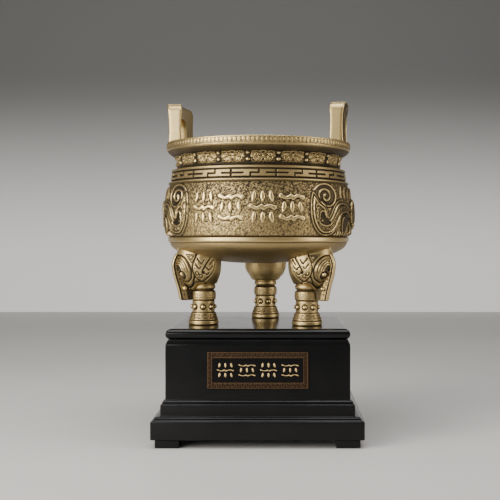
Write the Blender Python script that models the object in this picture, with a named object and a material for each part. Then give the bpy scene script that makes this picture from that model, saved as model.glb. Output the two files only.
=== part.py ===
"""A gift ornament after the ancient ding: a cast tripod bowl that stands on a stepped lacquered plinth.

Lengths are in metres and +Z is up. The plinth stands on Z = 0 and its front, with the name plaque, faces -Y.
The vessel is built upright in its own frame, feet on Z = 0, and turned a little on the plinth, as it stands.
"""

import math

import bmesh
import bpy
import numpy as np
from mathutils import Matrix

# Clearance left between two pieces that touch
TOUCH_GAP = 0.0003

# Plinth, from the floor up
FOOT_BLOCK_SIDE = 0.0215
FOOT_BLOCK_HEIGHT = 0.0074
FOOT_BLOCK_INSET = 0.0035
PLINTH_WIDTH = 0.187
PLINTH_DEPTH = 0.174
PLINTH_HEIGHT = 0.1033
SLAB_HEIGHT = 0.0160
SLAB_LIP_HEIGHT = 0.0035
SLAB_LIP_INSET = 0.0027
STEP_HEIGHT = 0.0098
STEP_INSET = 0.0078
STEP_LIP_HEIGHT = 0.0036
STEP_LIP_INSET = 0.0014
BODY_INSET = 0.0118
BODY_CHAMFER = 0.0017
SHADOW_GROOVE_HEIGHT = 0.0010
SHADOW_GROOVE_DEPTH = 0.0019
TOP_BOARD_HEIGHT = 0.0093

# Name plaque on the plinth's front
PLAQUE_WIDTH = 0.0893
PLAQUE_HEIGHT = 0.0325
PLAQUE_THICKNESS = 0.0013
PLAQUE_RISE = 0.0004
PLAQUE_SIDE_BORDER = 0.0046
PLAQUE_TOP_BORDER = 0.0056
PLAQUE_RECESS = 0.0005
PLAQUE_BLOCK_WIDTH = 0.0155
PLAQUE_BLOCK_HEIGHT = 0.0126
PLAQUE_BLOCK_PITCH = 0.0190

# How the vessel stands on the plinth
VESSEL_TURN = math.radians(-5.5)
VESSEL_SHIFT = -0.0012

# Vessel radii
BELLY_RADIUS = 0.0886
BELLY_CURVE_RADIUS = 0.121
RIDGE_RADIUS = 0.0863
UNDERSIDE_RADIUS = 0.0845
FRET_RADIUS = 0.0840
NECK_RADIUS = 0.0776
RIM_RADIUS = 0.0876
MOUTH_RADIUS = 0.0725
WALL = 0.0030

# Vessel heights, from its feet up
BOWL_CLEARANCE = 0.0562
UNDERSIDE_DEPTH = 0.0200
RIDGE_HEIGHT = 0.0056
BELLY_HEIGHT = 0.0490
BELLY_WIDEST = 0.0195
FRET_HEIGHT = 0.0135
NECK_HEIGHT = 0.0115
LIP_HEIGHT = 0.0070
RIM_HEIGHT = 0.0072

# Ridges and grooves of the meander band
FRET_RIDGE_HEIGHT = 0.0017
FRET_RIDGE_LIFT = 0.0022
FRET_GROOVE_DEPTH = 0.0010
FRET_SLOPE = 0.0012
FRET_GROOVE_WIDTH = 0.0013

# Neck bosses, in pairs one above the other
NECK_BOSS_PAIRS = 18
NECK_BOSS_RADIUS = 0.0021
NECK_BOSS_LIFT = 0.0017
NECK_BOSS_SPACING = 0.0058
NECK_BOSS_RISE = 0.0010

# Front inscription's place: four blocks of raised strokes
STROKE_BLOCK_ANGLES = (-26.5, -9.2, 9.2, 26.5)
STROKE_BLOCK_WIDTH = 0.0205
STROKE_BLOCK_HEIGHT = 0.0265
STROKE_LIFT = 0.0010

# Dragons on the sides
DRAGON_START_ANGLE = math.radians(38.0)
DRAGON_LIFT = 0.0029
DRAGON_SINK = 0.0012

# Loop ears on the rim
EAR_HEIGHT = 0.0365
EAR_HALF_LENGTH = 0.0292
EAR_THICKNESS = 0.0118
EAR_OUTER_RADIUS = 0.0848
EAR_OPENING_WIDTH = 0.0245
EAR_OPENING_HEIGHT = 0.0250
EAR_CORNER_RADIUS = 0.0080
EAR_FLARE = 0.0015
EAR_WAIST = 0.0009

# How far the ears' faces fall back towards their ends, per square metre of length
EAR_OUTER_BOW = 3.6
EAR_INNER_BOW = 5.0

# Legs
LEG_CIRCLE_RADIUS = 0.0560
FOOT_RADIUS = 0.0141
FOOT_RING_HEIGHT = 0.0038
FLARED_BAND_HEIGHT = 0.0073
FLARED_TOP_RADIUS = 0.0117
BOSS_BAND_HEIGHT = 0.0111
BOSS_BAND_RADIUS = 0.0105
DRUM_HEIGHT = 0.0095
DRUM_RADIUS = 0.0114
COLLAR_HEIGHT = 0.0052
COLLAR_RADIUS = 0.0110
LEG_BOSSES = 8
LEG_BOSS_RADIUS = 0.0021
LEG_BOSS_LIFT = 0.0017
CREST_THICKNESS = 0.0044
CREST_REACH = 0.0311
PUPIL_RADIUS = 0.0023
PUPIL_LIFT = 0.0016
MASK_LIFT = 0.0011

# Facets
BOWL_SIDES = 40
LEG_SIDES = 12
HEAD_SIDES = 14
SHARP_ANGLE = math.radians(35.0)

# Heights worked out from the sizes above
SLAB_BOTTOM = FOOT_BLOCK_HEIGHT + TOUCH_GAP
STEP_BOTTOM = SLAB_BOTTOM + SLAB_HEIGHT + SLAB_LIP_HEIGHT
BODY_BOTTOM = STEP_BOTTOM + STEP_HEIGHT + STEP_LIP_HEIGHT
BOARD_BOTTOM = PLINTH_HEIGHT - TOP_BOARD_HEIGHT
BODY_HEIGHT = BOARD_BOTTOM - SHADOW_GROOVE_HEIGHT - BODY_BOTTOM
PLAQUE_CENTRE_HEIGHT = BODY_BOTTOM + BODY_HEIGHT / 2 + PLAQUE_RISE
RIDGE_BOTTOM = BOWL_CLEARANCE + UNDERSIDE_DEPTH
BELLY_BOTTOM = RIDGE_BOTTOM + RIDGE_HEIGHT
FRET_BOTTOM = BELLY_BOTTOM + BELLY_HEIGHT
NECK_BOTTOM = FRET_BOTTOM + FRET_HEIGHT
LIP_BOTTOM = NECK_BOTTOM + NECK_HEIGHT
RIM_BOTTOM = LIP_BOTTOM + LIP_HEIGHT
RIM_TOP = RIM_BOTTOM + RIM_HEIGHT
COLLAR_BOTTOM = FOOT_RING_HEIGHT + FLARED_BAND_HEIGHT + BOSS_BAND_HEIGHT + DRUM_HEIGHT
HEAD_BOTTOM = COLLAR_BOTTOM + COLLAR_HEIGHT


def clear_scene():
    for obj in list(bpy.data.objects):
        bpy.data.objects.remove(obj)


def make_material(name, colour, metallic, roughness):
    material = bpy.data.materials.new(name)
    material.use_nodes = True
    shader = material.node_tree.nodes["Principled BSDF"]
    shader.inputs["Base Color"].default_value = (*colour, 1.0)
    shader.inputs["Metallic"].default_value = metallic
    shader.inputs["Roughness"].default_value = roughness
    return material


def make_object(name, shells, material, parent=None, group=None):
    """One mesh object from closed shells, each a list of vertices and a list of faces, all facing out."""
    mesh = bpy.data.meshes.new(name)
    vertices, faces = joined(shells)
    mesh.from_pydata(vertices, [], faces)
    fixed = bmesh.new()
    fixed.from_mesh(mesh)
    bmesh.ops.recalc_face_normals(fixed, faces=fixed.faces)
    fixed.to_mesh(mesh)
    fixed.free()
    mesh.materials.append(material)
    mesh.shade_smooth()
    mesh.set_sharp_from_angle(angle=SHARP_ANGLE)
    obj = bpy.data.objects.new(name, mesh)
    (group or bpy.context.scene.collection).objects.link(obj)
    obj.parent = parent
    return obj


def add_shapes(obj, named_shells):
    """Unites an object with shapes that aren't pieces of their own, all in one live Boolean."""
    group = bpy.data.collections.new(obj.name + "_shapes")
    bpy.context.scene.collection.children.link(group)
    for name, shells in named_shells:
        helper = make_object(name, shells, obj.active_material, obj.parent, group)
        helper.hide_render = True
        helper.display_type = "WIRE"
    modifier = obj.modifiers.new("shapes", "BOOLEAN")
    modifier.operation = "UNION"
    modifier.operand_type = "COLLECTION"
    modifier.collection = group
    modifier.solver = "EXACT"


def joined(shells):
    vertices, faces = [], []
    for shell_vertices, shell_faces in shells:
        base = len(vertices)
        vertices.extend(tuple(map(float, point)) for point in shell_vertices)
        faces.extend([base + index for index in face] for face in shell_faces)
    return vertices, faces


def loft(rings, first_pole=None, last_pole=None):
    """A closed shell through rings of equally many points, each end a fan to its pole or one flat face."""
    count = len(rings[0])
    vertices = [point for ring in rings for point in ring]
    faces = []
    for row in range(len(rings) - 1):
        low = row * count
        high = low + count
        for side in range(count):
            after = (side + 1) % count
            faces.append([low + side, low + after, high + after, high + side])
    for base, pole in ((0, first_pole), ((len(rings) - 1) * count, last_pole)):
        ring = [base + side for side in range(count)]
        if pole is None:
            faces.append(ring)
            continue
        vertices.append(pole)
        for side in range(count):
            faces.append([ring[side], ring[(side + 1) % count], len(vertices) - 1])
    return vertices, faces


def circle(radius, height, sides):
    turn = np.arange(sides) * (2 * math.pi / sides)
    return np.column_stack([radius * np.cos(turn), radius * np.sin(turn), np.full(sides, height)])


def turned(profile, sides):
    """A solid of revolution from (radius, height) points that start and end on the axis."""
    rings = [circle(radius, height, sides) for radius, height in profile[1:-1]]
    return loft(rings, (0.0, 0.0, profile[0][1]), (0.0, 0.0, profile[-1][1]))


def moved(shell, matrix):
    vertices, faces = shell
    placed = np.asarray(vertices, float) @ np.array(matrix)[:3, :3].T + np.array(matrix)[:3, 3]
    return placed, faces


def smooth_path(points, samples):
    """Points read at equal steps from a Catmull-Rom curve through the given ones, of any number of values."""
    points = np.asarray(points, float)
    padded = np.vstack([2 * points[0] - points[1], points, 2 * points[-1] - points[-2]])
    places = np.linspace(0, len(points) - 1, samples)
    start = np.minimum(places.astype(int), len(points) - 2)
    t = (places - start)[:, None]
    p0, p1, p2, p3 = (padded[start + k] for k in range(4))
    return 0.5 * (
        2 * p1 + (p2 - p0) * t + (2 * p0 - 5 * p1 + 4 * p2 - p3) * t**2 + (3 * p1 - p0 - 3 * p2 + p3) * t**3
    )


def surface_normals(surface, path):
    step = 1e-4
    u, v = path[:, 0], path[:, 1]
    across = surface(u + step, v) - surface(u - step, v)
    up = surface(u, v + step) - surface(u, v - step)
    normals = np.cross(across, up)
    return normals / np.linalg.norm(normals, axis=1, keepdims=True)


def relief_band(surface, path, widths, lift, sink, top_share=0.72):
    """A raised strip along a path on a surface, with sloping sides and its foot sunk into the wall."""
    centre = surface(path[:, 0], path[:, 1])
    normals = surface_normals(surface, path)
    along = np.gradient(centre, axis=0)
    sideways = np.cross(normals, along)
    sideways /= np.linalg.norm(sideways, axis=1, keepdims=True)
    half = np.asarray(widths, float)[:, None] / 2
    corners = [
        centre - sideways * half - normals * sink,
        centre + sideways * half - normals * sink,
        centre + sideways * half * top_share + normals * lift,
        centre - sideways * half * top_share + normals * lift,
    ]
    return loft(list(np.stack(corners, axis=1)))


def boss(centre, normal, radius, lift, sink, sides=5):
    """A small pointed boss that stands on a surface at a point, its base sunk below it."""
    centre, normal = np.asarray(centre, float), np.asarray(normal, float)
    first = np.cross(normal, (0.0, 0.0, 1.0))
    first /= np.linalg.norm(first)
    second = np.cross(normal, first)
    turn = np.arange(sides) * (2 * math.pi / sides)
    spread = np.outer(np.cos(turn), first) + np.outer(np.sin(turn), second)
    return loft([centre - sink * normal + radius * spread], None, centre + lift * normal)


def rectangle(width, depth, height):
    """A rectangle about the axis, as one ring of a lofted block."""
    x, y = width / 2, depth / 2
    return np.array([(px, py, height) for px, py in ((x, -y), (x, y), (-x, y), (-x, -y))])


def plinth_profile():
    """(inset, height) points up the plinth's side, with the lips rounded and the board's edge half-round."""
    slab_top = SLAB_BOTTOM + SLAB_HEIGHT
    step_top = STEP_BOTTOM + STEP_HEIGHT
    body_top = BODY_BOTTOM + BODY_HEIGHT
    points = [(0.0008, SLAB_BOTTOM), (0.0, SLAB_BOTTOM + 0.0008), (0.0, slab_top)]
    points += rounded_lip(0.0, SLAB_LIP_INSET, slab_top, SLAB_LIP_HEIGHT)
    points += [(STEP_INSET, STEP_BOTTOM), (STEP_INSET, step_top)]
    points += rounded_lip(STEP_INSET, STEP_LIP_INSET, step_top, STEP_LIP_HEIGHT)
    points += [(BODY_INSET, BODY_BOTTOM), (BODY_INSET, body_top - 2 * BODY_CHAMFER)]
    points += [(BODY_INSET + BODY_CHAMFER, body_top)]
    points += [(BODY_INSET + SHADOW_GROOVE_DEPTH, body_top), (BODY_INSET + SHADOW_GROOVE_DEPTH, BOARD_BOTTOM)]
    radius = TOP_BOARD_HEIGHT / 2
    for step in range(7):
        turn = math.radians(-75 + 25 * step)
        points.append((BODY_INSET + radius * (1 - math.cos(turn)), BOARD_BOTTOM + radius * (1 + math.sin(turn))))
    points.append((BODY_INSET + radius, PLINTH_HEIGHT))
    return points


def rounded_lip(inset, lip_inset, bottom, height):
    """A quarter-round moulding that stands back from the face below it."""
    lip = [(inset + lip_inset * 0.6, bottom + height * 0.05)]
    for step in range(4):
        turn = math.radians(30 * step)
        lip.append((
            inset + lip_inset + (height * 0.45) * (1 - math.cos(turn)),
            bottom + height * 0.45 + height * 0.55 * math.sin(turn),
        ))
    return lip


def build_plinth(lacquer):
    rings = [
        rectangle(PLINTH_WIDTH - 2 * inset, PLINTH_DEPTH - 2 * inset, height)
        for inset, height in plinth_profile()
    ]
    make_object("plinth", [loft(rings)], lacquer)


def build_foot_blocks(lacquer):
    half = FOOT_BLOCK_SIDE / 2
    out_x = PLINTH_WIDTH / 2 - FOOT_BLOCK_INSET - half
    out_y = PLINTH_DEPTH / 2 - FOOT_BLOCK_INSET - half
    rings = [
        rectangle(FOOT_BLOCK_SIDE, FOOT_BLOCK_SIDE, 0.0),
        rectangle(FOOT_BLOCK_SIDE, FOOT_BLOCK_SIDE, FOOT_BLOCK_HEIGHT),
    ]
    for depth_word, y in (("front", -out_y), ("back", out_y)):
        for side_word, x in (("left", -out_x), ("right", out_x)):
            block = make_object(f"plinth_foot_{depth_word}_{side_word}", [loft(rings)], lacquer)
            block.location = (x, y, 0.0)


def box(centre, across, up, out, size):
    """A block with its three half sizes along three directions."""
    centre = np.asarray(centre, float)
    rings = []
    for level in (-1, 1):
        rings.append([
            centre + side * size[0] * across + rise * size[1] * up + level * size[2] * out
            for side, rise in ((-1, -1), (1, -1), (1, 1), (-1, 1))
        ])
    return loft(rings)


def stroke_rows(block, rows):
    """Strokes of one block as (x, y, half width, half height) in shares of the block: dashes and ticks in rows."""
    strokes = []
    pitch = 1.0 / rows
    for row in range(rows):
        y = (rows - 1) * pitch / 2 - row * pitch
        if (row + block) % 2:
            strokes += [(x, y, 0.20, 0.055) for x in (-0.26, 0.26)]
        else:
            strokes += [(x, y, 0.065, pitch * 0.39) for x in (-0.36, 0.0, 0.36)]
    return strokes


def build_plaque(metal):
    """A plate with a sunk field; the strokes in the field stand as high as the border."""
    face = -PLINTH_DEPTH / 2 + BODY_INSET - TOUCH_GAP
    right, up, out = np.eye(3)[0], np.eye(3)[2], -np.eye(3)[1]
    inner_width = PLAQUE_WIDTH - 2 * PLAQUE_SIDE_BORDER
    inner_height = PLAQUE_HEIGHT - 2 * PLAQUE_TOP_BORDER
    floor = PLAQUE_THICKNESS - PLAQUE_RECESS
    levels = [
        (PLAQUE_WIDTH, PLAQUE_HEIGHT, 0.0), (PLAQUE_WIDTH, PLAQUE_HEIGHT, PLAQUE_THICKNESS),
        (inner_width, inner_height, PLAQUE_THICKNESS), (inner_width, inner_height, floor),
    ]
    rings = []
    for width, height, level in levels:
        corners = ((-1, -1), (1, -1), (1, 1), (-1, 1))
        rings.append([right * a * width / 2 + up * b * height / 2 + out * level for a, b in corners])
    place = bpy.data.objects.new("plaque_place", None)
    bpy.context.scene.collection.objects.link(place)
    place.location = (0.0, face, PLAQUE_CENTRE_HEIGHT)
    plaque = make_object("name_plaque", [loft(rings)], metal, place)
    strokes = []
    for block in range(4):
        middle = (block - 1.5) * PLAQUE_BLOCK_PITCH
        for x, y, half_width, half_height in stroke_rows(block, 2):
            centre = right * (middle + x * PLAQUE_BLOCK_WIDTH) + up * y * PLAQUE_BLOCK_HEIGHT
            size = (half_width * PLAQUE_BLOCK_WIDTH, half_height * PLAQUE_BLOCK_HEIGHT, PLAQUE_RECESS)
            strokes.append(box(centre + out * floor, right, up, out, size))
    add_shapes(plaque, [("plaque_strokes", strokes)])


def underside_height(radius):
    """Height of the bowl's rounded underside, a flat ellipse's lower half."""
    share = np.clip(np.asarray(radius, float) / UNDERSIDE_RADIUS, 0.0, 1.0)
    return RIDGE_BOTTOM - UNDERSIDE_DEPTH * np.sqrt(1.0 - share**2)


def inside_wall(points):
    """Height a third of the way up into the bowl's wall, above points given about a leg's axis."""
    radius = np.hypot(LEG_CIRCLE_RADIUS + points[:, 0], points[:, 1])
    return underside_height(radius) + WALL / 3


def belly_radius(height):
    return BELLY_RADIUS - (height - BELLY_BOTTOM - BELLY_WIDEST) ** 2 / (2 * BELLY_CURVE_RADIUS)


def belly_surface(angle, height):
    """A point on the belly: the angle runs from the front towards +X, the height from the feet."""
    radius = belly_radius(height)
    return np.column_stack([radius * np.sin(angle), -radius * np.cos(angle), height + 0 * radius])


def fret_radius(height):
    return FRET_RADIUS - FRET_SLOPE * (height - FRET_BOTTOM) / FRET_HEIGHT


def bowl_profile():
    """(radius, height) points: up the outside from the underside's middle, over the rim and down the inside."""
    outside = [(0.0, BOWL_CLEARANCE)]
    for turn in (20, 38, 54, 70):
        radius = UNDERSIDE_RADIUS * math.sin(math.radians(turn))
        outside.append((radius, float(underside_height(radius))))
    outside += [
        (UNDERSIDE_RADIUS, RIDGE_BOTTOM),
        (RIDGE_RADIUS, RIDGE_BOTTOM + 0.0013),
        (RIDGE_RADIUS, BELLY_BOTTOM - 0.0012),
        (RIDGE_RADIUS - 0.0010, BELLY_BOTTOM - 0.0004),
    ]
    for share in (0.012, 0.28, 0.62, 0.985):
        height = BELLY_BOTTOM + share * BELLY_HEIGHT
        outside.append((belly_radius(height), height))
    low, high = FRET_BOTTOM, NECK_BOTTOM
    ridge, groove = FRET_RIDGE_HEIGHT, FRET_GROOVE_WIDTH
    outside += [
        (fret_radius(low) + FRET_RIDGE_LIFT, low + 0.0002),
        (fret_radius(low) + FRET_RIDGE_LIFT, low + ridge),
        (fret_radius(low) - FRET_GROOVE_DEPTH, low + ridge + groove * 0.4),
        (fret_radius(low), low + ridge + groove),
        (fret_radius(high), high - ridge - groove),
        (fret_radius(high) - FRET_GROOVE_DEPTH, high - ridge - groove * 0.4),
        (fret_radius(high) + 0.0003, high - ridge),
        (fret_radius(high), high),
        (NECK_RADIUS, high + 0.0022),
        (NECK_RADIUS, LIP_BOTTOM - 0.0010),
        (NECK_RADIUS + 0.0040, LIP_BOTTOM + LIP_HEIGHT * 0.30),
        (RIM_RADIUS - 0.0014, LIP_BOTTOM + LIP_HEIGHT * 0.68),
        (RIM_RADIUS, RIM_BOTTOM),
        (RIM_RADIUS, RIM_TOP - 0.0006),
        (RIM_RADIUS - 0.0006, RIM_TOP),
    ]
    inside = [
        (MOUTH_RADIUS, RIM_TOP),
        (MOUTH_RADIUS, RIM_BOTTOM),
        (NECK_RADIUS - WALL, LIP_BOTTOM),
        (NECK_RADIUS - WALL, NECK_BOTTOM + 0.0022),
        (fret_radius(FRET_BOTTOM) - WALL, FRET_BOTTOM),
    ]
    for share in (0.5, 0.02):
        height = BELLY_BOTTOM + share * BELLY_HEIGHT
        inside.append((belly_radius(height) - WALL, height))
    inner_radius = UNDERSIDE_RADIUS - WALL
    inner_depth = UNDERSIDE_DEPTH - WALL
    for turn in (70, 48, 24):
        share = math.sin(math.radians(turn))
        inside.append((inner_radius * share, RIDGE_BOTTOM - inner_depth * math.sqrt(1 - share**2)))
    inside.append((0.0, RIDGE_BOTTOM - inner_depth))
    return outside + inside


def neck_bosses():
    bosses = []
    middle = NECK_BOTTOM + 0.0022 + (NECK_HEIGHT - 0.0032) / 2 + NECK_BOSS_RISE
    for pair in range(NECK_BOSS_PAIRS):
        turn = (pair + 0.5) * 2 * math.pi / NECK_BOSS_PAIRS
        normal = np.array((math.sin(turn), -math.cos(turn), 0.0))
        for rise in (-0.5, 0.5):
            centre = normal * NECK_RADIUS + (0, 0, middle + rise * NECK_BOSS_SPACING)
            bosses.append(boss(centre, normal, NECK_BOSS_RADIUS, NECK_BOSS_LIFT, 0.0008))
    return bosses


def belly_strokes():
    """Shallow raised strokes in rows, four blocks across the front."""
    strokes = []
    middle = BELLY_BOTTOM + BELLY_HEIGHT * 0.515
    for block, degrees in enumerate(STROKE_BLOCK_ANGLES):
        for x, y, half_width, half_height in stroke_rows(block, 3):
            height = middle + y * STROKE_BLOCK_HEIGHT
            turn = math.radians(degrees) + x * STROKE_BLOCK_WIDTH / BELLY_RADIUS
            place = np.array([[turn, height]])
            centre = belly_surface(place[:, 0], place[:, 1])[0]
            out = surface_normals(belly_surface, place)[0]
            across = np.array((math.cos(turn), math.sin(turn), 0.0))
            size = (half_width * STROKE_BLOCK_WIDTH, half_height * STROKE_BLOCK_HEIGHT, STROKE_LIFT)
            strokes.append(box(centre, across, np.cross(out, across), out, size))
    return strokes


def dragon_shapes():
    """One dragon as strips (path, widths) in millimetres: along the belly from its outer edge, and up.

    The tail is a flattened spiral whose radius shrinks evenly as it turns. The body runs on from it, down and up
    in an S, to the head at the middle of the vessel's side.
    """
    turns = np.linspace(1.0, 0.0, 12)
    radius = 12.2 - 9.4 * turns
    angle = math.pi - 3 * math.pi * turns
    across, up = radius * np.cos(angle), 0.72 * radius * np.sin(angle)
    spiral = np.column_stack([18.5 + across, 36.3 + up, 2.2 + 3.0 * (1 - turns)])
    body = smooth_path([
        (5.6, 30.0, 7.6), (5.0, 23.5, 8.4), (5.6, 16.0, 8.8), (8.4, 10.6, 9.2), (12.4, 7.2, 10.2),
        (17.6, 6.0, 11.0), (23.2, 7.0, 11.4), (28.0, 11.0, 11.4), (31.8, 16.4, 11.6), (35.6, 21.6, 11.8),
        (41.0, 24.8, 12.4), (48.0, 25.6, 12.2), (55.5, 23.4, 11.6), (62.0, 20.8, 10.8), (68.5, 19.0, 9.0),
    ], 14)
    leg = smooth_path([(53.5, 19.5, 4.0), (55.0, 11.0, 5.0), (50.5, 5.0, 5.0), (41.0, 3.4, 4.6), (31.0, 3.6, 2.6)], 5)
    flame = smooth_path([(58.0, 26.0, 5.4), (55.0, 35.0, 5.0), (48.0, 41.0, 4.0), (40.0, 43.0, 2.0)], 5)
    web = smooth_path([(8.0, 30.5, 5.0), (14.0, 26.5, 5.6), (19.0, 22.6, 5.0), (22.5, 15.5, 3.0)], 3)
    head = smooth_path([(62.0, 27.0, 8.0), (68.0, 25.5, 12.5), (74.0, 22.0, 11.0), (78.8, 18.0, 6.0)], 4)
    return [np.vstack([spiral, body])], [leg, flame, web], [head]


def dragon_shells(shapes, lift):
    """The strips laid on the belly four times: a mirrored pair meets at the middle of each side."""
    shells = []
    for strip in shapes:
        angle = DRAGON_START_ANGLE + strip[:, 0] * 0.001 / BELLY_RADIUS
        height = BELLY_BOTTOM + strip[:, 1] * 0.001
        for back in (False, True):
            for side in (1, -1):
                turned_angle = side * (math.pi - angle if back else angle)
                path = np.column_stack([turned_angle, height])
                shells.append(relief_band(belly_surface, path, strip[:, 2] * 0.001, lift, DRAGON_SINK))
    return shells


def ear_stations():
    """Pairs of outer and inner edge points (along the rim, up) round the loop, from one foot to the other."""
    outer_half, inner_half = EAR_HALF_LENGTH, EAR_OPENING_WIDTH / 2
    corner, arch = EAR_CORNER_RADIUS, EAR_OPENING_WIDTH / 2
    arch_bottom = EAR_OPENING_HEIGHT - arch * 0.75
    half = [((outer_half, -0.002), (inner_half, -0.002)), ((outer_half, 0.012), (inner_half, arch_bottom * 0.7))]
    for step in range(4):
        turn = math.radians(30 * step)
        outer = (outer_half - corner * (1 - math.cos(turn)), EAR_HEIGHT - corner * (1 - math.sin(turn)))
        inner = (arch * math.cos(turn * 0.86), arch_bottom + arch * 0.75 * math.sin(turn) ** 0.8)
        half.append((outer, inner))
    middle = ((0.0, EAR_HEIGHT), (0.0, EAR_OPENING_HEIGHT))
    mirrored = [((-outer[0], outer[1]), (-inner[0], inner[1])) for outer, inner in reversed(half)]
    return half + [middle] + mirrored


def ear_point(along, up, outside):
    """A corner of an ear's section, curved with the rim and leaning out a little towards the top."""
    share = max(up, 0.0) / EAR_HEIGHT
    waist = EAR_WAIST * (1 - (2 * share - 1) ** 2)
    if outside:
        radial = EAR_OUTER_RADIUS - EAR_OUTER_BOW * along**2 + EAR_FLARE * share**2 - waist
    else:
        radial = EAR_OUTER_RADIUS - EAR_THICKNESS - EAR_INNER_BOW * along**2 + waist
    return radial, along, RIM_TOP + up


def ear_shells():
    rings = []
    for outer, inner in ear_stations():
        rings.append([
            ear_point(*outer, False), ear_point(*outer, True), ear_point(*inner, True), ear_point(*inner, False),
        ])
    ear = loft(rings)
    return [moved(ear, Matrix.Rotation(turn, 4, "Z")) for turn in (0.0, math.pi)]


def leg_profile():
    """(radius, height) points of the turned part of a leg, from the foot up into the head."""
    band = FOOT_RING_HEIGHT
    bosses = band + FLARED_BAND_HEIGHT
    drum = bosses + BOSS_BAND_HEIGHT
    return [
        (0.0, 0.0),
        (FOOT_RADIUS, 0.0),
        (FOOT_RADIUS, band - 0.0004),
        (FOOT_RADIUS - 0.0008, band + 0.0004),
        (FLARED_TOP_RADIUS, bosses - 0.0003),
        (BOSS_BAND_RADIUS, bosses + 0.0003),
        (BOSS_BAND_RADIUS, drum - 0.0006),
        (BOSS_BAND_RADIUS - 0.0006, drum),
        (DRUM_RADIUS, drum + 0.0008),
        (DRUM_RADIUS, COLLAR_BOTTOM - 0.0009),
        (COLLAR_RADIUS - 0.0014, COLLAR_BOTTOM),
        (COLLAR_RADIUS, COLLAR_BOTTOM + 0.0014),
        (COLLAR_RADIUS, HEAD_BOTTOM + 0.0020),
        (0.0, HEAD_BOTTOM + 0.0035),
    ]


def head_surface(angle, height):
    """A point on a leg's beast head, about the leg's own axis: the angle runs from the outward side."""
    angle, height = np.asarray(angle, float), np.asarray(height, float)
    share = (height - HEAD_BOTTOM) / (BOWL_CLEARANCE - HEAD_BOTTOM)
    rows = (0.0, 0.25, 0.55, 0.85, 1.2)
    rear = np.interp(share, rows, (0.0116, 0.0135, 0.0153, 0.0158, 0.0161))
    side = np.interp(share, rows, (0.0123, 0.0158, 0.0188, 0.0202, 0.0201))
    front = np.interp(share, rows, (0.0155, 0.0205, 0.0248, 0.0270, 0.0262))
    reach = np.where(np.cos(angle) > 0, front, rear)
    return np.column_stack([reach * np.cos(angle), side * np.sin(angle), height + 0 * reach])


def head_shell():
    """A beast head that swells out of the collar and follows the bowl's underside at its top."""
    angle = np.arange(HEAD_SIDES) * (2 * math.pi / HEAD_SIDES)
    jaw = 0.0028 * np.maximum(np.cos(angle), 0.0) ** 3
    bottom = HEAD_BOTTOM - 0.0006 - jaw
    top = inside_wall(head_surface(angle, np.full(HEAD_SIDES, BOWL_CLEARANCE)))
    rings = []
    for share in (0.0, 0.28, 0.62, 1.0):
        rings.append(head_surface(angle, bottom + share * (top - bottom)))
    cap = rings[-1] * (0.55, 0.55, 1.0)
    cap[:, 2] = inside_wall(cap)
    rings.append(cap)
    axis = np.zeros((1, 3))
    return loft(rings, (0.0, 0.0, HEAD_BOTTOM + 0.0010), (0.0, 0.0, float(inside_wall(axis)[0])))


def crest_shell():
    """The upright flange down the outward side of a head, from the bowl to the drum."""
    reach, tall = CREST_REACH, BOWL_CLEARANCE - COLLAR_BOTTOM
    low = COLLAR_BOTTOM - DRUM_HEIGHT + 0.0004
    outline = [
        (0.30, low), (0.66, low), (0.745, low + 0.0020), (0.77, COLLAR_BOTTOM - 0.0010),
        (0.86, COLLAR_BOTTOM + tall * 0.34), (0.97, COLLAR_BOTTOM + tall * 0.72), (1.0, COLLAR_BOTTOM + tall * 0.98),
        (0.94, COLLAR_BOTTOM + tall * 1.24), (0.83, COLLAR_BOTTOM + tall * 1.38), (0.74, COLLAR_BOTTOM + tall * 1.43),
        (0.78, COLLAR_BOTTOM + tall * 1.57),
    ]
    points = np.array([(share * reach, height) for share, height in outline])
    tip = np.array([[points[-1, 0] + 0.0008, 0.0, 0.0]])
    inner = np.array([[0.64 * reach, 0.0, 0.0]])
    points = np.vstack([
        points,
        (tip[0, 0], float(inside_wall(tip)[0])),
        (inner[0, 0], float(inside_wall(inner)[0])),
        (0.36 * reach, BOWL_CLEARANCE),
    ])
    rings = []
    for side in (-1, 1):
        half = side * CREST_THICKNESS / 2
        rings.append(np.column_stack([points[:, 0], np.full(len(points), half), points[:, 1]]))
    return loft(rings)


def leg_bosses():
    height = FOOT_RING_HEIGHT + FLARED_BAND_HEIGHT + BOSS_BAND_HEIGHT * 0.47
    bosses = []
    for place in range(LEG_BOSSES):
        turn = (place + 0.5) * 2 * math.pi / LEG_BOSSES
        normal = np.array((math.cos(turn), math.sin(turn), 0.0))
        centre = normal * BOSS_BAND_RADIUS + (0, 0, height)
        bosses.append(boss(centre, normal, LEG_BOSS_RADIUS, LEG_BOSS_LIFT, 0.0008))
    return bosses


def mask_shells():
    """Raised brow arch, leaf-shaped ear and round pupil on both flanks of a head."""
    tall = BOWL_CLEARANCE - HEAD_BOTTOM
    brow = smooth_path([(15, 1.30, 2.0), (33, 1.12, 3.0), (45, 0.70, 3.4), (40, 0.30, 2.6)], 5)
    leaf = smooth_path([(66, 1.12, 3.0), (72, 0.92, 8.0), (78, 0.62, 9.0), (76, 0.34, 3.4)], 4)
    strips = []
    for strip in (brow, leaf):
        for side in (1, -1):
            angle = np.radians(strip[:, 0]) * side
            path = np.column_stack([angle, HEAD_BOTTOM + strip[:, 1] * tall])
            strips.append(relief_band(head_surface, path, strip[:, 2] * 0.001, MASK_LIFT, 0.0010))
    pupils = []
    for side in (1, -1):
        place = np.array([[math.radians(21.0) * side, HEAD_BOTTOM + 0.50 * tall]])
        normal = surface_normals(head_surface, place)[0]
        centre = head_surface(place[:, 0], place[:, 1])[0]
        pupils.append(boss(centre, normal, PUPIL_RADIUS, PUPIL_LIFT, 0.0010))
    return strips, pupils


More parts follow.
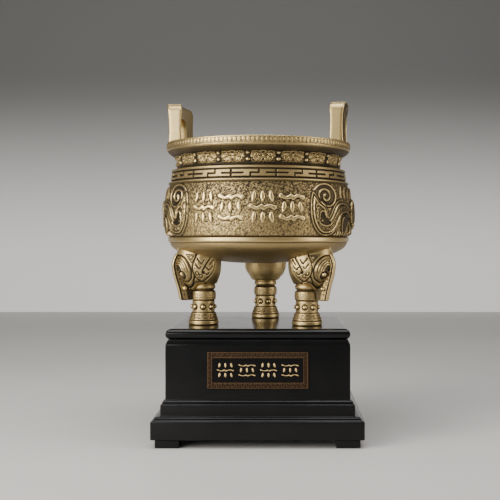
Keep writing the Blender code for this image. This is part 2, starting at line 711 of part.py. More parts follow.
def around_legs(shells):
    """Shells given about one leg's axis, outward along +X, placed at all three legs."""
    placed = []
    for degrees in (-150.0, -30.0, 90.0):
        place = Matrix.Rotation(math.radians(degrees), 4, "Z") @ Matrix.Translation((LEG_CIRCLE_RADIUS, 0.0, 0.0))
        placed += [moved(shell, place) for shell in shells]
    return placed


def build_vessel(brass):
    place = bpy.data.objects.new("vessel_place", None)
    bpy.context.scene.collection.objects.link(place)
    place.location = (VESSEL_SHIFT, 0.0, PLINTH_HEIGHT + TOUCH_GAP)
    place.rotation_euler = (0.0, 0.0, VESSEL_TURN)
    vessel = make_object("ding_vessel", [turned(bowl_profile(), BOWL_SIDES)], brass, place)
    bodies, limbs, heads = dragon_shapes()
    strips, pupils = mask_shells()
    add_shapes(vessel, [
        ("leg_shafts", around_legs([turned(leg_profile(), LEG_SIDES)])),
        ("leg_heads", around_legs([head_shell()])),
        ("leg_crests", around_legs([crest_shell()])),
        ("leg_masks", around_legs(strips)),
        ("leg_bosses", around_legs(leg_bosses() + pupils)),
        ("neck_bosses", neck_bosses()),
        ("ears", ear_shells()),
        ("dragon_bodies", dragon_shells(bodies, DRAGON_LIFT)),
        ("dragon_limbs", dragon_shells(limbs, DRAGON_LIFT * 0.8)),
        ("dragon_heads", dragon_shells(heads, DRAGON_LIFT * 1.1)),
        ("front_strokes", belly_strokes()),
    ])


def main():
    clear_scene()
    brass = make_material("antique_brass", (0.47, 0.38, 0.20), 0.9, 0.42)
    lacquer = make_material("black_lacquer", (0.012, 0.012, 0.014), 0.0, 0.22)
    plaque_metal = make_material("plaque_metal", (0.34, 0.20, 0.10), 0.8, 0.4)
    build_plinth(lacquer)
    build_foot_blocks(lacquer)
    build_plaque(plaque_metal)
    build_vessel(brass)


main()
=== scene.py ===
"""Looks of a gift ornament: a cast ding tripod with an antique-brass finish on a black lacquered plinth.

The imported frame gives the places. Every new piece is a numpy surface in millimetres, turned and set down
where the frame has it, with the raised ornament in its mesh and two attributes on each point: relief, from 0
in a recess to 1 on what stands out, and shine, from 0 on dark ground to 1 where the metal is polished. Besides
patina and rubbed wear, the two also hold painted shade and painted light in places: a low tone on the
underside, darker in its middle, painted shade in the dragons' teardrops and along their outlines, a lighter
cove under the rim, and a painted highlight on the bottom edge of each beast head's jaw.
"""

import math

import bpy
import numpy as np
from bpy.props import FloatProperty, FloatVectorProperty, PointerProperty
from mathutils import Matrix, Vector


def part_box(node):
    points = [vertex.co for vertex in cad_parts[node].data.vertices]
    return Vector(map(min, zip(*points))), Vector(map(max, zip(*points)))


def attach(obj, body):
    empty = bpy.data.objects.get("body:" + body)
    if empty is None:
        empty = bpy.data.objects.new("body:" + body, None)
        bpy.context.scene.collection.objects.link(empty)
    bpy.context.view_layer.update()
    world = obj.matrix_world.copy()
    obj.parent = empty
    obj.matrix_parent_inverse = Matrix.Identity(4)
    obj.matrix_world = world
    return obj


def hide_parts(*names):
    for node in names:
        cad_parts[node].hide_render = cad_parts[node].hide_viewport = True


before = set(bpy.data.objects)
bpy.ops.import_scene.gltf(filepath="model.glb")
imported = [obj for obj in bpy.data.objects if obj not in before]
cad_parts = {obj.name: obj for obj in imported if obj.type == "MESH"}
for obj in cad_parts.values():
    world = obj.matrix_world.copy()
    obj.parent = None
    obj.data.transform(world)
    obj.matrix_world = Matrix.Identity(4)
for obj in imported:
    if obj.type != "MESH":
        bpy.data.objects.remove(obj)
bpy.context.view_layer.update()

bl_info = {
    "name": "Ding ornament looks",
    "version": (1, 0, 0),
    "blender": (4, 5, 0),
    "location": "View3D > Sidebar > Ding",
    "description": "Cast tripod vessel with raised ornament on a lacquered plinth",
    "category": "Object",
}

MM = 0.001
TURN = 2 * math.pi

# Where the vessel stands
VESSEL = "ding_vessel"
VESSEL_TURN = math.radians(-5.5)
VESSEL_SHIFT = -1.2
VESSEL_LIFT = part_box(VESSEL)[0].z / MM

# Vessel, millimetres: radii, then heights above its feet
BELLY_RADIUS = 88.6
BELLY_CURVE = 121.0
BELLY_WIDEST = 19.5
RIDGE_RADIUS = 86.3
UNDERSIDE_RADIUS = 84.5
UNDERSIDE_DEPTH = 20.0
FRET_RADIUS = 84.0
FRET_SLOPE = 1.2
NECK_RADIUS = 77.6
RIM_RADIUS = 87.6
MOUTH_RADIUS = 72.5
BOWL_CLEARANCE = 56.2
RIDGE_BOTTOM = 76.2
BELLY_BOTTOM = 81.8
BELLY_HEIGHT = 49.0
FRET_BOTTOM = 130.8
NECK_BOTTOM = 144.3
LIP_BOTTOM = 155.8
RIM_BOTTOM = 162.8
RIM_TOP = 170.0

# Ornament on the bowl
DRAGON_START = math.radians(38.0)
DRAGON_LENGTH = 82.0
BLOCK_DEGREES = (-26.5, -9.2, 9.2, 26.5)
BLOCK_WIDTH, BLOCK_HEIGHT = 21.6, 27.5
FRET_UNITS = 13
BOSS_PAIRS = 18
RIM_LEAVES = 132
RIM_KEYS = 46

STROKE_BOLDNESS = 0.052

# Legs
LEG_CIRCLE = 56.0
LEG_ANGLES = {"left": -150.0, "right": -30.0, "back": 90.0}
HEAD_BOTTOM = 36.9
CREST_THICKNESS = 4.4
CREST_ROOT = 9.0
CREST_ROUNDING = 1.3
DEGREE_WIDTH = 0.36

# Ears
EAR_HEIGHT = 36.5
EAR_HALF_LENGTH = 29.2
EAR_THICKNESS = 11.8
EAR_OUTER_RADIUS = 84.8
EAR_OPENING_WIDTH = 24.5
EAR_OPENING_HEIGHT = 25.0
EAR_CORNER = 8.0
EAR_EDGE = 0.9

# Plinth: heights of its parts and how far each stands in from the slab
SLAB_HEIGHT = 16.0
STEP_LIFT = 3.5
STEP_HEIGHT = 9.8
BODY_LIFT = 13.4
BODY_HEIGHT = 52.4
STEP_INSET = 7.8
BODY_INSET = 11.8
GROOVE_INSET = 13.7
PLINTH_CORNER = 1.1
FOOT_CORNER = 1.0
FOOT_EDGE = 0.8
PLAQUE_BLOCKS = 4
PLAQUE_BLOCK_PITCH = 19.0
PLAQUE_BLOCK_WIDTH, PLAQUE_BLOCK_HEIGHT = 14.6, 13.0
PLAQUE_BOLDNESS = 0.018
PLAQUE_WAVE_PITCH = 4.4

# Points round and along each mesh; the neck's columns are a multiple of its pairs of bosses
UNDERSIDE_COLUMNS, UNDERSIDE_ROWS = 144, 32
BELLY_FRONT_COLUMNS, BELLY_BACK_COLUMNS, BELLY_ROWS = 640, 480, 104
FRET_COLUMNS = 832
NECK_COLUMNS = 900
RIM_COLUMNS = 792
EAR_ROWS = 112
EAR_SIDES = (16, 22, 12, 22)
HEAD_COLUMNS, HEAD_ROWS = 256, 72
SHAFT_COLUMNS, SHAFT_ROWS = 144, 100
CREST_ROWS, CREST_FLATS = 130, 40
PLAQUE_COLUMNS, PLAQUE_ROWS = 320, 112

# Stage, metres; the camera's focal length is in pixels of a picture 500 wide
FOCAL_PIXELS = 955.0
PICTURE_WIDTH = 500.0
SENSOR = 36.0
EYE = (0.0231, -0.917, 0.182)
SHIFT = (-0.068, -0.020)
AIM = (0.0, 0.0, 0.20)
WALL_PLACE, WALL_TOP = 1.5, 2.4
LIGHTS = (
    ("soft_left", (-0.90, -0.70, 0.55), (0.55, 0.9), 22.0, (1.0, 0.95, 0.86)),
    ("soft_right", (1.00, -0.30, 0.50), (0.45, 0.9), 6.5, (1.0, 0.93, 0.82)),
    ("soft_top", (0.0, -0.25, 1.25), (0.9, 0.7), 12.0, (1.0, 1.0, 1.0)),
    ("soft_front", (-0.70, -1.5, 0.55), (0.5, 0.5), 8.5, (1.0, 1.0, 1.0)),
)


# Curves and fields

def rises(value, low, high):
    """A cubic that rises from 0 at low to 1 at high."""
    share = np.clip((np.asarray(value, float) - low) / (high - low), 0.0, 1.0)
    return share * share * (3.0 - 2.0 * share)


def falls(value, low, high):
    """A cubic that falls from 1 at low to 0 at high."""
    return 1.0 - rises(value, low, high)


def between(value, low, full, end, high):
    """A cubic rise from low to full times a cubic fall from end to high."""
    return rises(value, low, full) * falls(value, end, high)


def bell(value, width):
    """A bell of height 1: e to the minus square of the value over its width."""
    return np.exp(-((value / width) ** 2))


def dome(distance, radius, height):
    """A half ball: its height times the root of one less the square of distance over radius."""
    return np.sqrt(np.clip(1.0 - (distance / radius) ** 2, 0.0, 1.0)) * height


def in_cell(value, pitch):
    """The place in a repeated cell, from minus half a pitch to half a pitch."""
    return value % pitch - pitch / 2


def around(columns):
    """A row of angles at equal steps of one turn."""
    return (np.arange(columns) * TURN / columns)[None, :]


def run_along(points):
    """The length along a polyline at each of its points, as a column."""
    steps = np.hypot(*np.diff(np.asarray(points, float), axis=0).T)
    return np.concatenate([[0.0], np.cumsum(steps)])[:, None]


def curve(points, samples):
    """Points at equal steps of a Catmull-Rom curve: each span is the cubic through two points whose slopes
    are half the difference of their neighbours."""
    points = np.asarray(points, float)
    padded = np.vstack([2 * points[0] - points[1], points, 2 * points[-1] - points[-2]])
    places = np.linspace(0, len(points) - 1, samples)
    start = np.minimum(places.astype(int), len(points) - 2)
    t = (places - start)[:, None]
    p0, p1, p2, p3 = (padded[start + k] for k in range(4))
    return 0.5 * (
        2 * p1 + (p2 - p0) * t + (2 * p0 - 5 * p1 + 4 * p2 - p3) * t**2 + (3 * p1 - p0 - 3 * p2 + p3) * t**3
    )


def path_field(x, y, path):
    """For every (x, y): the distance to a polyline, the length along it to the nearest point, and the side,
    1 on its right and -1 on its left. The least of the distances to its straight spans."""
    path = np.asarray(path, float)[:, :2]
    best = np.full(np.shape(x), np.inf)
    along = np.zeros(np.shape(x))
    side = np.ones(np.shape(x))
    start = 0.0
    for (ax, ay), (bx, by) in zip(path[:-1], path[1:]):
        dx, dy = bx - ax, by - ay
        length = math.hypot(dx, dy) + 1e-9
        t = np.clip(((x - ax) * dx + (y - ay) * dy) / length**2, 0.0, 1.0)
        away = (x - ax - t * dx) ** 2 + (y - ay - t * dy) ** 2
        closer = away < best
        best = np.where(closer, away, best)
        along = np.where(closer, start + t * length, along)
        side = np.where(closer, np.sign(dy * (x - ax) - dx * (y - ay)), side)
        start += length
    return np.sqrt(best), along, side


def distance_to(x, y, path):
    return path_field(x, y, path)[0]


def nearest(x, y, paths):
    """Distance to the nearest of several polylines."""
    return np.minimum.reduce([distance_to(x, y, path) for path in paths])


def depth_inside(x, y, corners):
    """Distance to a closed outline, positive inside it: the even-odd rule gives the sign."""
    corners = np.asarray(corners, float)
    closed = np.vstack([corners, corners[:1]])
    away = distance_to(x, y, closed)
    inside = np.zeros(np.shape(x), bool)
    for (ax, ay), (bx, by) in zip(closed[:-1], closed[1:]):
        if ay != by:
            inside ^= ((ay > y) != (by > y)) & (x < ax + (y - ay) * (bx - ax) / (by - ay))
    return np.where(inside, away, -away)


def raised_line(x, y, points, samples, width, height):
    """A rounded line of the given width and height along a curve through points."""
    return height * falls(distance_to(x, y, curve(points, samples)), width * 0.12, width * 0.62)


def square_spirals(along, across, pitch, reach):
    """Distance to square spirals in a row: the same six straight spans in every cell of the given pitch."""
    w, h = pitch * 0.40, reach
    spans = [
        (-w, -h), (-w, h), (w, h), (w, -h * 0.75), (-w * 0.45, -h * 0.75), (-w * 0.45, h * 0.35),
        (w * 0.4, h * 0.35),
    ]
    return distance_to(in_cell(along, pitch), across, spans)


def grain(shape, cells, seed):
    """Value noise from -1 to 1: random numbers at the corners of cells, joined by cubic steps, and repeating
    round the columns."""
    rows, columns = shape
    cell_rows, cell_columns = cells
    lattice = np.random.RandomState(seed).rand(cell_rows + 2, cell_columns) * 2 - 1
    r = np.linspace(0, cell_rows, rows)[:, None]
    c = (np.arange(columns) * cell_columns / columns)[None, :]
    r0, c0 = r.astype(int), c.astype(int)
    tr, tc = rises(r - r0, 0, 1), rises(c - c0, 0, 1)
    c1 = (c0 + 1) % cell_columns
    low = lattice[r0, c0] * (1 - tc) + lattice[r0, c1] * tc
    high = lattice[r0 + 1, c0] * (1 - tc) + lattice[r0 + 1, c1] * tc
    return low * (1 - tr) + high * tr


def blurred(field, reach):
    """A field averaged with bells of the given reach in cells, down the rows and then along the columns, each
    as one product with a matrix of weights."""
    def weights(count):
        places = np.arange(count)
        bells = bell(places[:, None] - places[None, :], reach)
        return bells / bells.sum(1, keepdims=True)
    rows, columns = field.shape
    return weights(rows) @ field @ weights(columns).T


# Shells and pieces

class Shell:
    """Points, faces and point attributes of one closed surface, in millimetres."""

    def __init__(self, points, faces, relief, shine):
        self.points, self.faces = points, faces
        self.relief, self.shine = relief, shine


def quads_over(index):
    """Four-sided faces between the neighbours of a grid of point numbers."""
    corners = [index[:-1, :-1], index[:-1, 1:], index[1:, 1:], index[1:, :-1]]
    return np.stack(corners, -1).reshape(-1, 4).tolist()


def grid_shell(
    points, wrap_rows=False, wrap_columns=True, low_pole=None, high_pole=None, relief=0.7, shine=0.7,
):
    """A closed surface over a grid of points, rows up and columns to the left round the outside.

    Each end row is closed by a fan to its pole, and end columns that aren't joined by one flat face each.
    """
    rows, columns = points.shape[:2]
    index = np.arange(rows * columns).reshape(rows, columns)
    if wrap_rows:
        index = np.vstack([index, index[:1]])
    if wrap_columns:
        index = np.hstack([index, index[:, :1]])
    faces = quads_over(index)
    flat = points.reshape(-1, 3)
    fields = [np.broadcast_to(value, (rows, columns)).reshape(-1) for value in (relief, shine)]
    for pole, ring in ((low_pole, index[0][::-1]), (high_pole, index[-1])):
        if pole is not None:
            tip = np.full(len(ring) - 1, len(flat))
            faces += np.stack([tip, ring[:-1], ring[1:]], -1).tolist()
            flat = np.vstack([flat, pole])
            fields = [np.append(field, field[ring[0]]) for field in fields]
    if not wrap_columns:
        faces += [index[:rows, 0].tolist(), index[:rows, -1][::-1].tolist()]
    return Shell(flat, faces, *fields)


def joined(shells):
    """One shell of several, their points numbered on."""
    base, faces = 0, []
    for shell in shells:
        faces += [[base + corner for corner in face] for face in shell.faces]
        base += len(shell.points)
    points, relief, shine = (
        np.concatenate([getattr(shell, field) for shell in shells]) for field in ("points", "relief", "shine")
    )
    return Shell(points, faces, relief, shine)


def turned_about(points, angle, shift=(0.0, 0.0, 0.0)):
    """Points turned about the vertical axis by an angle and then shifted."""
    c, s = math.cos(angle), math.sin(angle)
    x, y, z = points[..., 0], points[..., 1], points[..., 2]
    return np.stack([x * c - y * s, x * s + y * c, z], -1) + shift


def new_object(name, points, faces, material):
    mesh = bpy.data.meshes.new(name)
    mesh.from_pydata(points, [], faces)
    mesh.materials.append(material)
    made = bpy.data.objects.new(name, mesh)
    bpy.context.scene.collection.objects.link(made)
    return made


def make_piece(name, shell, material, node, sharp):
    """A mesh object from a shell, with its attributes, riding on the root body in place of its CAD node."""
    points = shell.points
    if node == VESSEL:
        points = turned_about(points, VESSEL_TURN, (VESSEL_SHIFT, 0.0, VESSEL_LIFT))
    piece = new_object(name, (points * MM).tolist(), shell.faces, material)
    for field in ("relief", "shine"):
        attribute = piece.data.attributes.new(name=field, type="FLOAT", domain="POINT")
        attribute.data.foreach_set("value", np.clip(getattr(shell, field), 0.0, 1.0).astype(np.float32))
    piece.data.shade_smooth()
    piece.data.set_sharp_from_angle(angle=math.radians(sharp))
    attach(piece, "root")
    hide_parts(node)


def brass_piece(name, shell, material, sharp=50.0):
    make_piece(name, shell, material, VESSEL, sharp)


# Shader expressions

class Socket:
    """An output socket with arithmetic: each operator adds one Math node."""

    def __init__(self, tree, socket):
        self.tree, self.socket = tree, socket

    def node(self, kind, settings=None, values=None, output=0):
        """Adds a node of a type, with its settings and then its sockets' values or links; gives an output."""
        made = self.tree.nodes.new(kind)
        for key, value in (settings or {}).items():
            setattr(made, key, value)
        feed(self.tree, made, values or {})
        return Socket(self.tree, made.outputs[output])

    def math(self, operation, first, second):
        return self.node("ShaderNodeMath", {"operation": operation}, {0: first, 1: second})

    def __add__(self, other):
        return self.math("ADD", self, other)

    def __radd__(self, other):
        return self.math("ADD", other, self)

    def __sub__(self, other):
        return self.math("SUBTRACT", self, other)

    def __rsub__(self, other):
        return self.math("SUBTRACT", other, self)

    def __mul__(self, other):
        return self.math("MULTIPLY", self, other)

    def __rmul__(self, other):
        return self.math("MULTIPLY", other, self)

    def ramp(self, low, high):
        """A smooth step from 0 at low to 1 at high."""
        return self.node(
            "ShaderNodeMapRange", {"interpolation_type": "SMOOTHSTEP", "clamp": True},
            {"Value": self, "From Min": low, "From Max": high},
        )

    def mix(self, first, second):
        """A colour between two, by this value."""
        settings = {"data_type": "RGBA", "clamp_factor": True}
        return self.node("ShaderNodeMix", settings, {0: self, 6: first, 7: second}, output=2)

    def noise(self, scale, detail=2.0, rough=0.5):
        values = {"Vector": self, "Scale": scale, "Detail": detail, "Roughness": rough}
        return self.node("ShaderNodeTexNoise", None, values)

    def attribute(self, name):
        return self.node("ShaderNodeAttribute", {"attribute_name": name}, None, output=2)

    def bump(self, strength, distance, height):
        values = {"Strength": strength, "Distance": distance, "Height": height}
        return self.node("ShaderNodeBump", None, values)


def feed(tree, node, values):
    """Sets or links a node's inputs."""
    for name, value in values.items():
        if isinstance(value, Socket):
            tree.links.new(value.socket, node.inputs[name])
        else:
            node.inputs[name].default_value = value


def rgba(colour):
    return (colour[0], colour[1], colour[2], 1.0)


def grey(value):
    return (value, value, value, 1.0)


def new_material(name):
    """A material with its shader, and the object's own coordinates as a socket."""
    material = bpy.data.materials.new(name)
    material.use_nodes = True
    tree = material.node_tree
    place = Socket(tree, tree.nodes.new("ShaderNodeTexCoord").outputs["Object"])
    return material, tree.nodes["Principled BSDF"], place


def antique_brass(name, finish):
    """Dark brown in the recesses, olive brass on the ground, pale and polished on what stands out."""
    material, shader, place = new_material(name)
    relief, shine = place.attribute("relief"), place.attribute("shine")
    cloud = place.noise(scale=55.0, detail=3.0)
    speck = place.noise(scale=900.0, rough=0.6)
    # relief and shine hold patina and rubbed wear, and in places painted shade and painted light, which this mix
    # carries on
    wear_and_painted_light = relief + (cloud - 0.5) * 0.10 + (speck - 0.5) * 0.30 * (1.0 - shine)
    bare = wear_and_painted_light.ramp(0.10, 0.80)
    toned = bare.mix(rgba(finish.recess), rgba(finish.brass))
    colour = (bare * shine * 0.95).mix(toned, rgba(finish.polished))
    feed(place.tree, shader, {
        "Base Color": (cloud.ramp(0.40, 0.70) * 0.12).mix(colour, rgba(finish.tint)),
        "Metallic": 0.78 + bare * 0.20,
        "Roughness": 0.60 - bare * 0.14 - shine * 0.15 + (speck - 0.5) * 0.12,
        "Normal": place.bump(0.30, finish.grain, speck * (1.25 - shine) + cloud * 0.6),
    })
    return material


def black_lacquer(name, finish):
    """Nearly black gloss over wood, with slow waves in the coat, fine dust and a trace of rubbed places."""
    material, shader, place = new_material(name)
    wave = place.noise(scale=16.0)
    dust = place.noise(scale=700.0, detail=3.0, rough=0.7)
    film = place.noise(scale=40.0, detail=4.0, rough=0.6)
    rubbed = film.ramp(0.35, 0.75) * 0.35 + dust.ramp(0.62, 0.80) * 0.25
    feed(place.tree, shader, {
        "Base Color": rubbed.mix(rgba(finish.lacquer), rgba(finish.rubbed)),
        "Roughness": 0.12 + film * 0.06 + dust.ramp(0.6, 0.85) * 0.10,
        "Normal": place.bump(0.05, 0.001, wave + dust * 0.05),
        "Specular IOR Level": 0.22,
    })
    return material


def plaque_finish(name, finish):
    """A black enamelled field, a copper-brown border and bare gold strokes, by the two point attributes."""
    material, shader, place = new_material(name)
    border = place.attribute("relief").ramp(0.25, 0.5)
    gold = place.attribute("shine").ramp(0.4, 0.7)
    speck = place.noise(scale=600.0)
    brown = speck.ramp(0.35, 0.65).mix((0.012, 0.006, 0.004, 1.0), (0.034, 0.017, 0.010, 1.0))
    feed(place.tree, shader, {
        "Base Color": gold.mix(border.mix(rgba(finish.enamel), brown), rgba(finish.gold)),
        "Metallic": border * 0.5 + gold * 0.5,
        "Specular IOR Level": 0.12,
        "Roughness": 0.20 + border * 0.22 + gold * 0.12 + (speck - 0.5) * 0.08,
    })
    return material


# Bowl

def belly_radius(height):
    """Radius of the belly: an arc, taken as its widest radius less the square of the height from there."""
    return BELLY_RADIUS - (height - BELLY_BOTTOM - BELLY_WIDEST) ** 2 / (2 * BELLY_CURVE)


def fret_radius(height):
    """Radius of the meander band, a straight slope inwards."""
    return FRET_RADIUS - FRET_SLOPE * (height - FRET_BOTTOM) / (NECK_BOTTOM - FRET_BOTTOM)


def round_point(angle, radius, height):
    """Points about the vessel's axis, by an angle that runs from the front towards +X."""
    return np.stack([radius * np.sin(angle), -radius * np.cos(angle), height + 0 * radius * angle], -1)


def dragon_outlines():
    """Outlines in millimetres along the belly from 38 degrees, and up from its bottom."""
    body = curve([
        (2.6, 38.0), (1.0, 33.0), (0.4, 28.0), (0.3, 23.0), (0.6, 18.5), (1.5, 14.5), (3.2, 10.2),
        (5.8, 6.4), (9.2, 3.1), (13.2, 1.0), (18.0, 0.3), (23.4, 0.8), (28.2, 2.6), (31.8, 5.4),
        (34.6, 9.0), (37.0, 12.8), (40.0, 16.0), (44.6, 18.4), (49.6, 19.2), (55.0, 17.8), (61.0, 15.0),
        (66.0, 13.2), (70.0, 13.6), (71.0, 19.0), (69.0, 25.0), (60.0, 28.4), (51.0, 31.6), (44.5, 33.2),
        (39.0, 32.8), (34.4, 31.0), (30.2, 27.8), (26.6, 23.4), (23.8, 19.2), (21.6, 16.9), (20.6, 18.6),
        (19.6, 23.6), (16.6, 27.6), (10.6, 31.4), (7.0, 36.6), (4.6, 39.4),
    ], 150)
    hollow = curve([
        (12.6, 21.6), (11.0, 19.8), (10.6, 16.6), (10.4, 13.4), (12.4, 11.4), (17.0, 10.3), (21.6, 10.6),
        (24.6, 12.2), (22.0, 13.8), (19.0, 15.4), (16.8, 18.0), (15.0, 21.2), (12.6, 21.6),
    ], 50)
    leg = curve([
        (46.0, 19.0), (43.0, 15.0), (42.0, 9.0), (43.4, 4.0), (47.4, 2.2), (51.6, 3.4), (54.4, 8.0),
        (58.0, 13.0), (58.6, 17.2), (52.0, 20.0), (46.0, 19.0),
    ], 50)
    head = curve([
        (66.0, 12.6), (71.0, 8.6), (76.4, 7.0), (81.0, 8.6), (81.0, 31.0), (77.6, 33.8), (73.0, 35.4),
        (68.0, 33.4), (63.6, 29.6), (62.0, 24.0), (63.0, 17.0), (66.0, 12.6),
    ], 60)
    spiral = curve([
        (1.1, 30.0), (1.7, 34.0), (3.2, 38.4), (6.4, 42.4), (12.2, 45.8), (19.6, 46.9), (26.6, 45.2),
        (31.2, 41.0), (32.4, 36.0), (30.4, 31.2), (26.6, 28.0), (21.4, 26.8), (15.4, 28.0), (11.4, 31.4),
        (9.9, 36.0), (11.8, 40.0), (17.0, 41.9), (21.8, 40.6), (23.8, 36.6), (22.0, 33.0), (18.4, 31.9),
        (15.8, 33.2), (15.4, 35.6), (16.4, 36.8),
    ], 160)
    return body, hollow, leg, head, spiral


def dragon_body(s, up, inside, sunk):
    """Height of the body: a plateau with two contour lines inside its outline, rings and square spirals, and
    no height in the sunk teardrop."""
    lines = 0.70 * bell(inside - 3.3, 0.60) + 0.6 * bell(sunk + 0.9, 0.45)
    lines -= 0.35 * bell(inside - 4.3, 0.4) + 0.35 * bell(sunk + 1.9, 0.4)
    middle = curve([
        (6.4, 27.0), (6.6, 19.0), (9.6, 10.6), (17.6, 6.4), (25.0, 9.0), (31.8, 16.6), (38.0, 22.8),
        (46.0, 25.4), (55.5, 23.6), (66.0, 20.0),
    ], 60)
    across, along, side = path_field(s, up, middle)
    key = square_spirals(along, across * side, 5.6, 1.9)
    carved = rises(inside, 4.2, 4.8) * rises(-sunk, 1.6, 2.2)
    carved *= rises(along, 14.0, 15.0) * falls(across, 2.7, 3.2)
    lines += carved * (0.75 * bell(key, 0.42) - 0.45)
    for cx, cy, rx, ry in (
        (7.2, 26.4, 1.5, 1.8), (6.6, 20.6, 0.9, 2.2), (7.2, 15.4, 0.9, 1.8), (14.8, 26.6, 2.3, 1.1),
    ):
        ring = np.hypot((s - cx) / rx, (up - cy) / ry)
        lines += 0.55 * bell((ring - 1.0) * min(rx, ry), 0.40)
    return rises(inside, 2.1, 2.9) * falls(sunk, -0.5, 0.2) * (1.25 + lines)


def dragon_tail(s, up, spiral):
    """Height of the tail: a low cove with one raised line wound up in it, and a bead in the middle."""
    wound = distance_to(s, up, spiral)
    disc = rises(depth_inside(s, up, spiral[18:100]), -0.6, 0.8)
    tail = disc * 0.45 + (1.25 - 0.1 * disc) * bell(wound, 0.78) - 0.3 * disc * bell(wound - 1.5, 0.5)
    bead = np.hypot((s - 17.0) / 1.5, (up - 36.4) / 1.5)
    return tail + falls(bead, 0.5, 1.25)


def dragon_limbs(s, up, leg):
    """Height of the leg, five claws and six curved blades of mane, each blade with a rib along its middle."""
    shank = depth_inside(s, up, leg)
    height = rises(shank, 0.0, 0.8) * (1.2 + 0.5 * bell(shank - 0.9, 0.45) + 0.35 * bell(s - 49.0, 1.0))
    for claw in range(5):
        cx = 31.5 + 4.3 * claw
        drop = np.hypot((s - cx - 0.25 * (up - 2.6)) / 1.5, (up - 2.6) / 2.7)
        height = np.maximum(height, 1.5 * falls(drop, 0.55, 1.05))
    for path in (
        [(43.5, 32.0, 5.0), (41.2, 36.0, 4.4), (41.6, 41.0, 3.2), (44.6, 45.6, 0.8)],
        [(50.6, 31.0, 5.4), (48.6, 36.0, 4.8), (49.8, 41.5, 3.4), (54.0, 45.8, 0.8)],
        [(58.4, 28.5, 5.6), (57.6, 35.0, 5.0), (60.2, 40.8, 3.6), (66.0, 45.0, 0.8)],
        [(68.0, 33.0, 5.6), (69.0, 38.6, 4.6), (73.0, 43.0, 3.4), (79.0, 45.4, 0.8)],
        [(56.0, 17.0, 5.0), (61.5, 11.0, 4.4), (64.5, 5.4, 3.4), (62.0, 1.2, 1.0)],
        [(70.0, 10.0, 4.4), (68.6, 5.6, 3.6), (72.0, 2.6, 2.4), (78.0, 2.4, 0.8)],
    ):
        blade = curve(path, 24)
        off, along = path_field(s, up, blade)[:2]
        length = run_along(blade[:, :2])[-1, 0]
        half = np.interp(along / length, np.linspace(0, 1, len(blade)), blade[:, 2]) / 2
        rib = 0.4 * bell(off, 0.4) - 0.35 * bell(off - half * 0.55, 0.35)
        height = np.maximum(height, rises(half - off, -0.2, 0.7) * (1.4 + rib))
    return height


def dragon_head(s, up, head):
    """Height of half the head: a plateau with a slanted eye, brow, nose ridge, nostril, mouth and fangs."""
    skull = depth_inside(s, up, head)
    face = 2.3 + 0.7 * rises(skull, 1.0, 7.0) + 0.5 * bell(skull - 1.2, 0.5) - 0.4 * bell(skull - 2.5, 0.5)
    slant_u = (s - 71.0) * 0.90 - (up - 25.0) * 0.44
    slant_v = (s - 71.0) * 0.44 + (up - 25.0) * 0.90
    eye = np.hypot(slant_u / 3.7, slant_v / 1.9)
    face += 0.9 * bell(s - 80.6, 1.7) * between(up, 12.0, 15.0, 28.0, 33.0)
    face += 0.8 * falls(eye, 0.5, 0.95) - 0.5 * bell(eye - 1.25, 0.2) + 0.4 * bell(eye - 1.75, 0.22)
    for points, samples, width, height in (
        ([(64.2, 26.0), (67.0, 31.4), (72.0, 32.6), (76.0, 29.6), (79.0, 23.6)], 24, 1.6, 0.8),
        ([(81.0, 15.0), (77.5, 13.4), (74.4, 15.4), (75.4, 18.8), (79.0, 18.6)], 24, 1.2, 0.6),
        ([(65.0, 19.0), (68.0, 14.6), (72.4, 12.6), (77.0, 12.2), (81.0, 9.6)], 20, 1.4, -1.1),
    ):
        face += raised_line(s, up, points, samples, width, height)
    for fang in (70.4, 76.2):
        face += falls(np.hypot(s - fang, (up - 11.2) / 2.1), 0.5, 1.0)
    return rises(skull, 0.0, 0.8) * face


def dragon_relief(s, up):
    """Height, polish and share of darkening of one dragon over the ground: the highest of its parts. The
    darkening is patina and painted shade in the sunk teardrop and just outside the outline, and a darker tone
    on the raised parts towards the head.
    """
    body, hollow, leg, head, spiral = dragon_outlines()
    inside, sunk = depth_inside(s, up, body), depth_inside(s, up, hollow)
    dish = bell(np.hypot((s - 13.4) / 2.9, (up - 13.7) / 1.7), 1.0) * rises(sunk, 0.2, 1.2)
    height = np.maximum.reduce([
        dragon_body(s, up, inside, sunk), 1.15 * bell(inside - 0.75, 0.55), 0.25 * rises(inside, 0.4, 0.9),
        0.8 * dish, dragon_tail(s, up, spiral), dragon_limbs(s, up, leg), dragon_head(s, up, head),
    ])
    far = rises(s, 34.0, 44.0)
    # Patina and painted shade: the sunk teardrop, save a lighter lens in it, and a band just outside the outline
    # are darkened; raised parts past 34 mm are darker too
    dark = np.maximum.reduce([
        rises(sunk, -0.4, 0.2) * (1.0 - 0.9 * dish), 0.85 * bell(inside + 0.75, 0.65),
        0.35 * far * rises(height, 0.2, 0.8),
    ])
    return height, rises(height, 0.3, 1.6) * (1.0 - 0.55 * far), dark


def brush_strokes(s, up, block, width, height, bold):
    """Strokes of one block in three rows, dashes or upright ticks, each swelling to one end as if brushed.

    A stroke is where the distance from its middle line is under its half width, which changes along it.
    """
    best = np.full(np.shape(s), -9.0)
    dash, tick = 0.215 * width, height * 0.40 / 3
    for row in range(3):
        y = (1 - row) / 3 * height
        upright = (row + block) % 2 == 0
        for k in (-1, 0, 1) if upright else (-1, 1):
            if upright:
                x, lean = 0.36 * width * k, k * width * 0.045
                line = [(x - lean * 0.4, y + tick), (x, y), (x + lean, y - tick)]
            else:
                x, sweep = 0.26 * width * k, k * height * 0.035
                line = [(x - dash, y - sweep), (x, y + sweep), (x + dash, y - 0.4 * sweep)]
            off, along = path_field(s, up, curve(line, 12))[:2]
            if upright:
                half = (bold + 0.008 + 0.034 * np.sin(along / (2 * tick) * math.pi * 1.15)) * width
            else:
                half = (bold + 0.020 * (along / dash - 1.0) ** 2) * height
            best = np.maximum(best, half - off)
    return best


